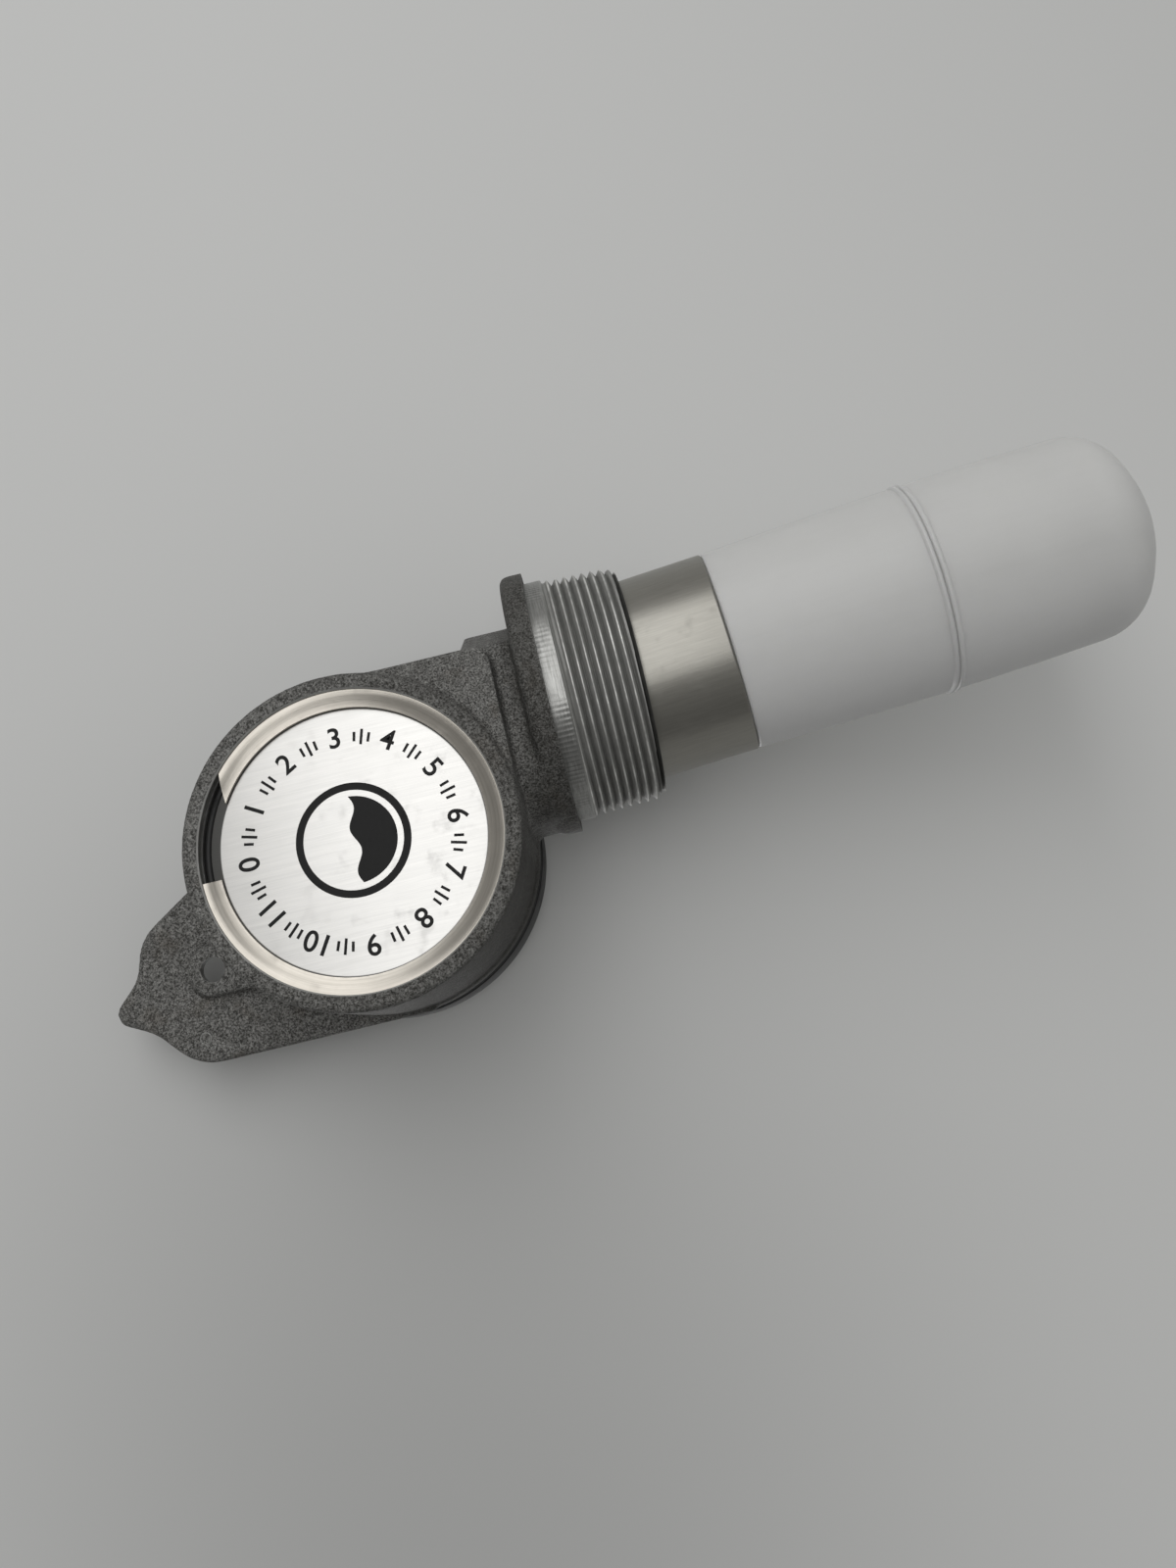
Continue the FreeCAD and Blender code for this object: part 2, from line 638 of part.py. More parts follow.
# A flat strip in half-circle coils, wound between the arbor and the barrel wall
strip = number("spring_strip")
pitch = number("spring_pitch")
inner_arcs = []
outer_arcs = []
radius = number("arbor_radius") + strip / 2
start = -radius
side = 1
for half_turn in range(2 * int(number("spring_coils"))):
    centre = start + side * radius
    far = start + side * 2 * radius
    for arcs, offset in ((inner_arcs, -strip / 2), (outer_arcs, strip / 2)):
        reach = radius + offset
        arcs.append(Part.Arc(V(centre - side * reach, 0, 0), V(centre, 0, side * reach),
                             V(centre + side * reach, 0, 0)).toShape())
    start = far
    side = -side
    radius += pitch / 2
inner_start = inner_arcs[0].Vertexes[0].Point
outer_start = outer_arcs[0].Vertexes[0].Point
inner_end = inner_arcs[-1].Vertexes[-1].Point
outer_end = outer_arcs[-1].Vertexes[-1].Point
strip_ends = [Part.makeLine(inner_start, outer_start), Part.makeLine(inner_end, outer_end)]
strip_edges = inner_arcs + outer_arcs + strip_ends
strip_wire = Part.Wire(Part.__sortEdges__(strip_edges))
power_spring = made_in_code("power_spring", Part.Face(strip_wire).extrude(V(0, number("spring_width"), 0)),
                            HOUSING_X, "-spring_front", "housing_height")


# Gears: straight-flanked teeth, thinner than their gaps so that every mesh keeps backlash
def toothed(teeth, module, width, bore, first_tooth):
    """A wheel about Y with a round bore; first_tooth is one tooth's angle from +X towards +Z."""
    pitch_radius = module * teeth / 2
    tip = pitch_radius + module * 0.85
    root = pitch_radius - module * 1.15
    step = 2 * math.pi / teeth
    points = []
    for index in range(teeth):
        middle = math.radians(first_tooth) + index * step
        for share, reach in ((-0.30, root), (-0.185, pitch_radius), (-0.08, tip),
                             (0.08, tip), (0.185, pitch_radius), (0.30, root)):
            angle = middle + share * step
            points.append(V(reach * math.cos(angle), 0, reach * math.sin(angle)))
    blank = Part.Face(Part.makePolygon(points + points[:1])).extrude(V(0, width, 0))
    return blank.cut(Part.makeCylinder(bore, width + 2, V(0, -1, 0), V(0, 1, 0)))


def gear(label, teeth, module, width, bore, first_tooth, at, east=HOUSING_X):
    shape = toothed(int(number(teeth)), number(module), number(width), number(bore), first_tooth)
    return made_in_code(label, shape, east, at, "housing_height")


TRANSFER_X = "-housing_offset + gear_reach"
MOTION_X = "-housing_offset - motion_reach"
first_phase = 180 / number("transfer_teeth") if number("transfer_teeth") % 2 == 0 else 0
relay_phase = 180 / number("relay_teeth") if number("relay_teeth") % 2 == 0 else 0
drum_wheel = gear("drum_wheel", "drum_teeth", "tooth_module", "gear_width", "hub_radius", 0, "first_gear_at")
transfer_wheel = gear("transfer_wheel", "transfer_teeth", "tooth_module", "gear_width",
                      "transfer_hub_radius", first_phase, "first_gear_at", TRANSFER_X)
relay_wheel = gear("relay_wheel", "relay_teeth", "tooth_module", "second_gear_width",
                   "transfer_hub_radius", relay_phase, "second_gear_at", TRANSFER_X)
inch_wheel = gear("inch_wheel", "relay_teeth", "tooth_module", "second_gear_width",
                  "inch_arbor_radius", 0, "second_gear_at")
transfer_hub = place(turned("transfer_hub", "XY_Plane", [
    ("stud_radius + running_clearance", "first_gear_at"),
    ("transfer_hub_radius", "first_gear_at"),
    ("transfer_hub_radius", "second_gear_at + second_gear_width + 0.4"),
    ("stud_radius + running_clearance", "second_gear_at + second_gear_width + 0.4")]),
    TRANSFER_X, "0", "housing_height")
transfer_stud = place(turned("transfer_stud", "XY_Plane", [
    ("0", "first_gear_at - 0.35"),
    ("stud_radius * 1.8", "first_gear_at - 0.35"),
    ("stud_radius * 1.8", "first_gear_at - 0.05"),
    ("stud_radius", "first_gear_at - 0.05"),
    ("stud_radius", "casting_back"),
    ("0", "casting_back")]),
    TRANSFER_X, "0", "housing_height")
inch_arbor = turned_on_housing("inch_arbor", [
    ("0", "arbor_end - inch_pivot_length"),
    ("inch_pivot_radius", "arbor_end - inch_pivot_length"),
    ("inch_pivot_radius", "arbor_end + 0.2"),
    ("inch_arbor_radius", "arbor_end + 0.2"),
    ("inch_arbor_radius", "dial_back + inch_hand_gap + hand_thickness"),
    ("0", "dial_back + inch_hand_gap + hand_thickness")])

# Movement plate with its dial pillars, and the bush that carries the inch arbor
plate_disc = ring_on_housing("plate_disc", "inch_arbor_radius * 2", "plate_radius",
                             "plate_front", "casting_back")
pillars = []
for index in range(int(number("pillar_count"))):
    east, height = around("pillar_circle", "pillar_count", index, start=90)
    pillars.append(rod("pillar_%d" % (index + 1), "pillar_radius", "pillar_height + 0.5",
                       east, "casting_back - 0.5", height))
stud_hole = rod("stud_hole", "stud_radius", "10", TRANSFER_X, "0", "housing_height")
motion_hole = rod("motion_hole", "motion_stud_radius", "10", MOTION_X, "0", "housing_height")
pillar_taps = []
for index in range(int(number("pillar_count"))):
    east, height = around("pillar_circle", "pillar_count", index, start=90)
    pillar_taps.append(rod("pillar_tap_%d" % (index + 1), "pillar_radius / 2", "dial_screw_reach + 2",
                           east, "dial_front - dial_screw_reach - 1", height))
movement_plate = cut("movement_plate", fused("plate_with_pillars", [plate_disc] + pillars),
                     [stud_hole, motion_hole] + pillar_taps)
centre_bush = ring_on_housing("centre_bush", "inch_arbor_radius + running_clearance", "inch_arbor_radius * 2",
                              "plate_front - 0.2", "casting_back + 0.4")

# Motion work between plate and dial
cannon_pinion = gear("cannon_pinion", "cannon_teeth", "tooth_module", "motion_gear_width + 0.2",
                     "inch_arbor_radius", 0, "motion_gear_at")
foot_module = "tooth_module * (cannon_teeth + motion_teeth) / (motion_pinion_teeth + foot_teeth)"
motion_phase = 0 if number("motion_teeth") % 2 else 180 / number("motion_teeth")
motion_wheel = gear("motion_wheel", "motion_teeth", "tooth_module", "motion_gear_width",
                    "motion_stud_radius + motion_pinion_wall", motion_phase, "motion_gear_at", MOTION_X)
motion_bore = number("motion_stud_radius + running_clearance")
motion_pinion_teeth = toothed(int(number("motion_pinion_teeth")), number(foot_module),
                              number("motion_gear_width"), motion_bore, 0)
pinion_sleeve_length = number("motion_gear_width + foot_gear_gap")
pinion_sleeve = Part.makeCylinder(number("motion_stud_radius + motion_pinion_wall"),
                                  pinion_sleeve_length, V(0, 0, 0), V(0, 1, 0))
pinion_sleeve = pinion_sleeve.cut(Part.makeCylinder(motion_bore, pinion_sleeve_length,
                                                    V(0, 0, 0), V(0, 1, 0)))
motion_pinion_teeth.translate(V(0, number("motion_gear_width + foot_gear_gap"), 0))
motion_pinion = made_in_code("motion_pinion", pinion_sleeve.fuse(motion_pinion_teeth), MOTION_X,
                             "motion_gear_at", "housing_height")
motion_stud = rod("motion_stud", "motion_stud_radius",
                  "foot_gear_at + motion_gear_width + motion_stud_end - plate_front",
                  MOTION_X, "plate_front", "housing_height")
foot_phase = 0 if number("foot_teeth") % 2 else 180 / number("foot_teeth")
foot_pipe_length = number("dial_back + foot_hand_gap + hand_thickness - foot_gear_at")
foot_bore = number("inch_arbor_radius + running_clearance")
foot_disc = toothed(int(number("foot_teeth")), number(foot_module), number("motion_gear_width"),
                    foot_bore, foot_phase + 180)
foot_pipe = Part.makeCylinder(foot_bore + number("foot_pipe_wall"), foot_pipe_length, V(0, 0, 0), V(0, 1, 0))
foot_pipe = foot_pipe.cut(Part.makeCylinder(foot_bore, foot_pipe_length, V(0, 0, 0), V(0, 1, 0)))
foot_wheel = made_in_code("foot_wheel", foot_disc.fuse(foot_pipe), HOUSING_X,
                          "foot_gear_at", "housing_height")

# Dial, hands and lens
dial_disc = ring_on_housing("dial_disc", "dial_hole_radius", "dial_radius", "dial_front", "dial_back")
dial_screws_made = []
dial_holes = []
for index in range(int(number("pillar_count"))):
    east, height = around("pillar_circle", "pillar_count", index, start=90)
    dial_holes.append(rod("dial_hole_%d" % (index + 1), "pillar_radius / 2 + running_clearance", "4",
                          east, "dial_front - 1", height))
    shank = rod("dial_screw_shank_%d" % (index + 1), "pillar_radius / 2 - 0.02",
                "dial_screw_reach + dial_thickness",
                east, "dial_front - dial_screw_reach", height)
    head = rod("dial_screw_head_%d" % (index + 1), "pillar_radius * 0.9", "dial_screw_head_height",
               east, "dial_back", height)
    dial_screws_made += [shank, head]
dial = cut("dial", dial_disc, dial_holes)
dial_screws = fused("dial_screws", dial_screws_made)


def hand(label, length, width, bore, at):
    """A tapering hand that points up the dial from its collet, with a short tail."""
    blade = plate_between(label + "_blade", [
        ("-(%s)" % width, "0"),
        ("-(%s) * 0.8" % width, "-(%s) * 0.28" % length),
        ("(%s) * 0.8" % width, "-(%s) * 0.28" % length),
        (width, "0"),
        ("hand_tip_half_width", length),
        ("-hand_tip_half_width", length)], at, "%s + hand_thickness" % at)
    on_housing_axis(blade)
    blade.setExpression("Placement.Base.y", bound(at))
    collet = ring_on_housing(label + "_collet", "0", "(%s) + hand_collet_wall" % bore,
                             at, "%s + hand_thickness" % at)
    hole = rod(label + "_bore", bore, "10", HOUSING_X, "%s - 3" % at, "housing_height")
    return cut(label, fused(label + "_blank", [blade, collet]), [hole])


foot_hand = hand("foot_hand", "foot_hand_length", "foot_hand_half_width",
                 "inch_arbor_radius + running_clearance + foot_pipe_wall", "dial_back + foot_hand_gap")
inch_hand = hand("inch_hand", "inch_hand_length", "inch_hand_half_width", "inch_arbor_radius",
                 "dial_back + inch_hand_gap")
hand_cap = turned_on_housing("hand_cap", [
    ("0", "dial_back + inch_hand_gap + hand_thickness"),
    ("inch_arbor_radius * 1.5", "dial_back + inch_hand_gap + hand_thickness"),
    ("inch_arbor_radius * 1.2", "dial_back + inch_hand_gap + hand_thickness + hand_cap_height"),
    ("0", "dial_back + inch_hand_gap + hand_thickness + hand_cap_height")])
lens_ring = ring_on_housing("lens_ring", "dial_radius + seat_clearance - lens_ring_wall",
                            "bezel_bore_radius - seat_clearance", "dial_back", "lens_front")
lens = ring_on_housing("lens", "0", "bezel_bore_radius - seat_clearance", "lens_front", "lens_back")

# Bezel, its gasket and screws
bezel_ring = turned_on_housing("bezel_ring", [
    ("bezel_bore_radius", "casting_back + gasket_thickness"),
    ("bezel_radius", "casting_back + gasket_thickness"),
    ("bezel_radius", "bezel_back", "bezel_round"),
    ("bezel_lip_radius", "bezel_back"),
    ("bezel_lip_radius", "lens_back"),
    ("bezel_bore_radius", "lens_back")])
gasket_ring = ring_on_housing("gasket_ring", "plate_radius + seat_clearance", "bezel_radius - 0.3",
                              "casting_back", "casting_back + gasket_thickness")
bezel_holes = []
gasket_holes = []
screws = []
for index in range(int(number("screw_count"))):
    east, height = around("screw_circle", "screw_count", index)
    bezel_holes.append(rod("bezel_hole_%d" % (index + 1), "screw_radius + seat_clearance", "30",
                           east, "casting_back", height))
    gasket_holes.append(rod("gasket_hole_%d" % (index + 1), "screw_radius + seat_clearance", "10",
                            east, "casting_back - 5", height))
    screws.append(rod("screw_shank_%d" % (index + 1), "screw_radius",
                      "bezel_back - casting_back + screw_depth - 0.3", east,
                      "casting_back - screw_depth + 0.3", height))
    screws.append(rod("screw_head_%d" % (index + 1), "screw_head_radius", "screw_head_height",
                      east, "bezel_back", height))
bezel = cut("bezel", bezel_ring, bezel_holes)
bezel_gasket = cut("bezel_gasket", gasket_ring, gasket_holes)
bezel_screws = fused("bezel_screws", screws)

# Float: a stainless sleeve over the spigot of a two-part welded float, hung by an eye
ballast_sleeve = on_float(turned("ballast_sleeve", "XZ_Plane", [
    ("sleeve_radius - sleeve_wall", "-sleeve_below"),
    ("sleeve_radius - sleeve_edge", "-sleeve_below"),
    ("sleeve_radius", "-(sleeve_below - sleeve_edge)"),
    ("sleeve_radius", "sleeve_engaged", "sleeve_edge"),
    ("sleeve_radius - sleeve_wall", "sleeve_engaged")]))
SPIGOT = "sleeve_radius - sleeve_wall - running_clearance"
upper_float = on_float(turned("upper_float", "XZ_Plane", [
    ("%s - float_wall" % SPIGOT, "spigot_top - float_wall"),
    ("eye_shank_radius", "spigot_top - float_wall"),
    ("eye_shank_radius", "spigot_top"),
    (SPIGOT, "spigot_top", "1"),
    (SPIGOT, "-sleeve_below"),
    ("float_shoulder_radius", "-sleeve_below", "0.6"),
    ("weld_radius", "-(weld_depth - weld_bead_width * 1.5)"),
    ("weld_radius + weld_bead", "-(weld_depth - weld_bead_width / 2)"),
    ("weld_radius + weld_bead", "-weld_depth"),
    ("weld_radius - float_wall", "-weld_depth"),
    ("float_shoulder_radius - float_wall", "-(sleeve_below + float_wall)"),
    ("%s - float_wall" % SPIGOT, "-(sleeve_below - float_wall)")]))
FLOAT_SIDE_END = "-(float_end_depth - float_end_bulge)"
lower_float = on_float(turned("lower_float", "XZ_Plane", [
    ("weld_radius - float_wall", "-weld_depth"),
    ("weld_radius + weld_bead", "-weld_depth"),
    ("weld_radius + weld_bead", "-(weld_depth + weld_bead_width / 2)"),
    ("weld_radius", "-(weld_depth + weld_bead_width * 1.5)"),
    ("float_end_radius", FLOAT_SIDE_END, "float_end_round"),
    ("float_dome_radius", "-float_end_depth", "float_dome_round"),
    ("0", "-float_end_depth"),
    ("0", "-(float_end_depth - float_wall)"),
    ("float_dome_radius - float_wall / 4", "-(float_end_depth - float_wall)", "float_dome_round - float_wall"),
    ("float_end_radius - float_wall", "%s + float_wall * 0.6" % FLOAT_SIDE_END,
     "float_end_round - float_wall")]))
top_cap = on_float(turned("top_cap", "XZ_Plane", [
    ("eye_shank_radius + running_clearance", "spigot_top"),
    (SPIGOT, "spigot_top"),
    (SPIGOT, "spigot_top + cap_thickness", "0.4"),
    ("eye_shank_radius + running_clearance", "spigot_top + cap_thickness")]))
nut_blank = doc.addObject("Part::Prism", "nut_blank")
nut_blank.Polygon = 6
nut_blank.setExpression("Circumradius", bound("eye_nut_flats / 2 / cos(30)"))
nut_blank.setExpression("Height", bound("eye_nut_height"))
place(nut_blank, "0", "0", "spigot_top + cap_thickness")
nut_bore = rod("nut_bore", "eye_shank_radius + 0.02", "20", "0", "0", "spigot_top - 5", along="Z")
eye_nut = on_float(cut("eye_nut", nut_blank, [nut_bore]))
eye_shank = rod("eye_shank", "eye_shank_radius - 0.02",
                "eye_height - eye_ring_radius - (spigot_top - float_wall)",
                "0", "0", "spigot_top - float_wall", along="Z")
eye_ring = doc.addObject("Part::Torus", "eye_ring")
eye_ring.setExpression("Radius1", bound("eye_ring_radius"))
eye_ring.setExpression("Radius2", bound("eye_wire_radius"))
eye_ring.Placement = FreeCAD.Placement(V(0, 0, 0), FreeCAD.Rotation(V(1, 0, 0), 90))
place(eye_ring, "0", "0", "eye_height")
eye_bolt = on_float(fused("eye_bolt", [eye_shank, eye_ring]))

# Cable: a loop through the eye, its ferrule and the run up to the drum
EYE_X = "mouth_offset - eye_height * sin(%s)" % LEAN
EYE_Z = "eye_height * cos(%s) - nipple_length" % LEAN
LOOP_Z = "%s + sqrt(eye_ring_radius ^ 2 - (%s) ^ 2)" % (EYE_Z, EYE_X)
LOOP_RADIUS = ("((eye_wire_radius + cable_radius) * eye_ring_radius / sqrt(eye_ring_radius ^ 2 - (%s) ^ 2)"
               " + running_clearance)" % EYE_X)
FERRULE_Z = "%s + %s + ferrule_gap" % (LOOP_Z, LOOP_RADIUS)
loop_bend = doc.addObject("Part::Torus", "loop_bend")
loop_bend.setExpression("Radius1", bound(LOOP_RADIUS))
loop_bend.setExpression("Radius2", bound("cable_radius"))
loop_bend.Angle3 = 180
loop_bend.Placement = FreeCAD.Placement(
    V(0, 0, 0), heading(FreeCAD.Rotation(V(0, 1, 0), V(0, 0, -1), V(-1, 0, 0), "XYZ")))
place(loop_bend, "0", "0", LOOP_Z)
loop_legs = []
for index, side in enumerate(("", "-")):
    loop_legs.append(rod("loop_leg_%d" % (index + 1), "cable_radius", "%s - (%s)" % (FERRULE_Z, LOOP_Z),
                         "-%s(%s) * sin(lean_heading)" % (side, LOOP_RADIUS),
                         "%s(%s) * cos(lean_heading)" % (side, LOOP_RADIUS), LOOP_Z, along="Z"))
cable_loop = fused("cable_loop", [loop_bend] + loop_legs)
FERRULE_HALF_WIDTH = "(%s + cable_radius + ferrule_wall)" % LOOP_RADIUS
ferrule_block = doc.addObject("Part::Box", "ferrule_block")
ferrule_block.setExpression("Length", bound("2 * ferrule_half_depth"))
ferrule_block.setExpression("Width", bound("2 * " + FERRULE_HALF_WIDTH))
ferrule_block.setExpression("Height", bound("ferrule_length"))
ferrule_block.Placement = FreeCAD.Placement(V(0, 0, 0), heading())
place(ferrule_block,
      "-ferrule_half_depth * cos(lean_heading) + %s * sin(lean_heading)" % FERRULE_HALF_WIDTH,
      "-ferrule_half_depth * sin(lean_heading) - %s * cos(lean_heading)" % FERRULE_HALF_WIDTH, FERRULE_Z)
ferrule_round = rod("ferrule_round", FERRULE_HALF_WIDTH, "ferrule_length", "0", "0", FERRULE_Z, along="Z")
cable_ferrule = doc.addObject("Part::Common", "cable_ferrule")
cable_ferrule.Base = ferrule_block
cable_ferrule.Tool = ferrule_round
RUN_START = "%s + ferrule_length" % FERRULE_Z
cable_run = rod("cable_run", "cable_radius", "housing_height - lead_drop - (%s)" % RUN_START,
                "0", "0", RUN_START, along="Z")

NODES = {
    "gauge_body": gauge_body,
    "label_plate": label_plate,
    "side_cover": side_cover,
    "cover_seal": cover_seal,
    "retaining_ring": retaining_ring,
    "main_arbor": main_arbor,
    "drum_bush": drum_bush,
    "cable_drum": cable_drum,
    "cable_winding": cable_winding,
    "cable_lead": cable_lead,
    "power_spring": power_spring,
    "drum_wheel": drum_wheel,
    "transfer_wheel": transfer_wheel,
    "relay_wheel": relay_wheel,
    "transfer_hub": transfer_hub,
    "transfer_stud": transfer_stud,
    "inch_wheel": inch_wheel,
    "inch_arbor": inch_arbor,
    "movement_plate": movement_plate,
    "centre_bush": centre_bush,
    "cannon_pinion": cannon_pinion,
    "motion_wheel": motion_wheel,
    "motion_pinion": motion_pinion,
    "motion_stud": motion_stud,
    "foot_wheel": foot_wheel,
    "dial": dial,
    "dial_screws": dial_screws,
    "foot_hand": foot_hand,
    "inch_hand": inch_hand,
    "hand_cap": hand_cap,
    "lens_ring": lens_ring,
    "lens": lens,
    "bezel": bezel,
    "bezel_gasket": bezel_gasket,
    "bezel_screws": bezel_screws,
    "ballast_sleeve": ballast_sleeve,
    "upper_float": upper_float,
    "lower_float": lower_float,
    "top_cap": top_cap,
    "eye_nut": eye_nut,
    "eye_bolt": eye_bolt,
    "cable_loop": cable_loop,
    "cable_ferrule": cable_ferrule,
    "cable_run": cable_run,
}

doc.recompute()
for item in doc.Objects:
    state = [word for word in item.State if word in ("Invalid", "Error")]
    if state:
        raise RuntimeError("%s is %s" % (item.Label, state))
os.makedirs("parts", exist_ok=True)
for name, item in NODES.items():
    shape = item.Shape
    if shape.isNull() or not shape.isValid() or shape.Volume <= 0:
        raise RuntimeError("%s has no valid solid" % name)
    shape.exportStep("parts/%s.step" % name)
    print("%-16s %2d solid(s) %10.1f mm3" % (name, len(shape.Solids), shape.Volume))
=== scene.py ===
# %% [markdown]
# A tank level gauge stands on a tank's bung. A float hangs from it on a thin cable, a spring-wound
# drum in the round housing takes the cable in, and a train of small wheels turns two hands on a
# dial. The mechanism's solids come in as a fixed frame. This lesson gives them their finishes, and
# models again what the eye rests on: the casting, the snap ring, the label, the steel sleeve, the
# milky float and the dial.

# %% Load the frame
import json
import math

import bpy
from mathutils import Matrix, Vector


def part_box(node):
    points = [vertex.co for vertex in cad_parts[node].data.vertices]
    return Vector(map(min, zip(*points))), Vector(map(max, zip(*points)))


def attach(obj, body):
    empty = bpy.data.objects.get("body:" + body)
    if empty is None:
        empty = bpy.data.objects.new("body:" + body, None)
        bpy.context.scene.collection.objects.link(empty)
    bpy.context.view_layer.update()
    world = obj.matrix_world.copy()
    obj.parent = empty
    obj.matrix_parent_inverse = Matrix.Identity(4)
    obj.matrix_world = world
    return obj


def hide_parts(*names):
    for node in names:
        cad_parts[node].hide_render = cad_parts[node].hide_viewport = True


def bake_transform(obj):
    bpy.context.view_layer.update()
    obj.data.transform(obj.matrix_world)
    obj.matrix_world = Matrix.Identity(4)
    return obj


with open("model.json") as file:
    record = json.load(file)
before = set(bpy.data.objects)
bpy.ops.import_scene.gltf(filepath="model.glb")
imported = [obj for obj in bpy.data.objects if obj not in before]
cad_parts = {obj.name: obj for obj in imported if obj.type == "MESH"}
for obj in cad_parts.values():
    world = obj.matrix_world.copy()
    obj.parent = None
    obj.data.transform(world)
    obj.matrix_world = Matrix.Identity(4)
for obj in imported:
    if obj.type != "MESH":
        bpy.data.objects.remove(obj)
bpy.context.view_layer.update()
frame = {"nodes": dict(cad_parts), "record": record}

bpy.ops.object.select_all(action="DESELECT")
print("nodes in the frame:", len(frame["nodes"]))

# %% [markdown]
# Everything is written in millimetres and multiplied by MM once, where a mesh is made. The gauge's
# main places are read from the frame: the housing's axis runs along Y, the neck's axis is Z itself,
# and the depths of label, dial and lens are those of their solids.

# %% Places that the pieces share
MM = 0.001


def low(node):
    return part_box(node)[0] / MM


def high(node):
    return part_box(node)[1] / MM


HOUSING = Vector(((low("lens").x + high("lens").x) / 2, 0, (low("lens").z + high("lens").z) / 2))
COVER_BORE = high("side_cover").x - HOUSING.x + 0.15
RIM_RADIUS = COVER_BORE + 3.9
CASTING_BACK = low("bezel_gasket").y
LABEL_FRONT = low("label_plate").y
LABEL_RADIUS = high("label_plate").x - HOUSING.x
RING_BACK = high("retaining_ring").y
RING_FRONT = low("retaining_ring").y
RIM_FRONT = RING_FRONT - 0.8
DIAL_BACK = high("dial").y
DIAL_RADIUS = high("dial").x - HOUSING.x
LENS_BACK = high("lens").y
BEZEL_BACK = high("bezel").y
BEZEL_RADIUS = high("bezel").x - HOUSING.x
NECK_BORE = 26.5
PILOT_RADIUS = 30.3
PILOT_LENGTH = 4.35
FLANGE_RADIUS = 33.0
FLANGE_THICKNESS = 5.7
NIPPLE_LENGTH = 21.4
PITCH = 2.209
print("housing axis at", tuple(round(c, 2) for c in HOUSING), "cover bore", round(COVER_BORE, 2))

# %% [markdown]
# The photograph was taken from close above, with the neck to the right. The camera's place and its
# three directions were found by matching the circles of neck, flange, rim and ring, so the script
# states them and builds the camera's matrix from them.

# %% Camera
LENS_LENGTH = 27
SENSOR_SIZE = 36
CAMERA_PLACE = Vector((-82.7, -284.2, -5.4)) * MM
VIEW_UP = Vector((0.9514, -0.2012, -0.2331))
VIEW_BACK = Vector((-0.2080, -0.9781, -0.0045)).normalized()
VIEW_RIGHT = VIEW_UP.cross(VIEW_BACK).normalized()
VIEW_UP = VIEW_BACK.cross(VIEW_RIGHT)

camera_data = bpy.data.cameras.new("camera")
camera_data.lens = LENS_LENGTH
camera_data.sensor_width = SENSOR_SIZE
camera_data.clip_start = 0.01
camera = bpy.data.objects.new("camera", camera_data)
bpy.context.collection.objects.link(camera)
camera.matrix_world = Matrix.Translation(CAMERA_PLACE) @ Matrix(
    (VIEW_RIGHT, VIEW_UP, VIEW_BACK)).transposed().to_4x4()
bpy.context.scene.camera = camera
bpy.context.scene.view_settings.view_transform = "Standard"
print("camera stands", round((CAMERA_PLACE / MM - HOUSING).length), "mm from the housing's middle")

# %% [markdown]
# Every material, the table and the room's light are trees of nodes. Adding and joining nodes takes
# several lines each time, so a small class keeps the words short: feed joins a socket to another
# one or sets its number, calc and its kin do sums, ramp maps one span of values onto another.

# %% Words for wiring nodes


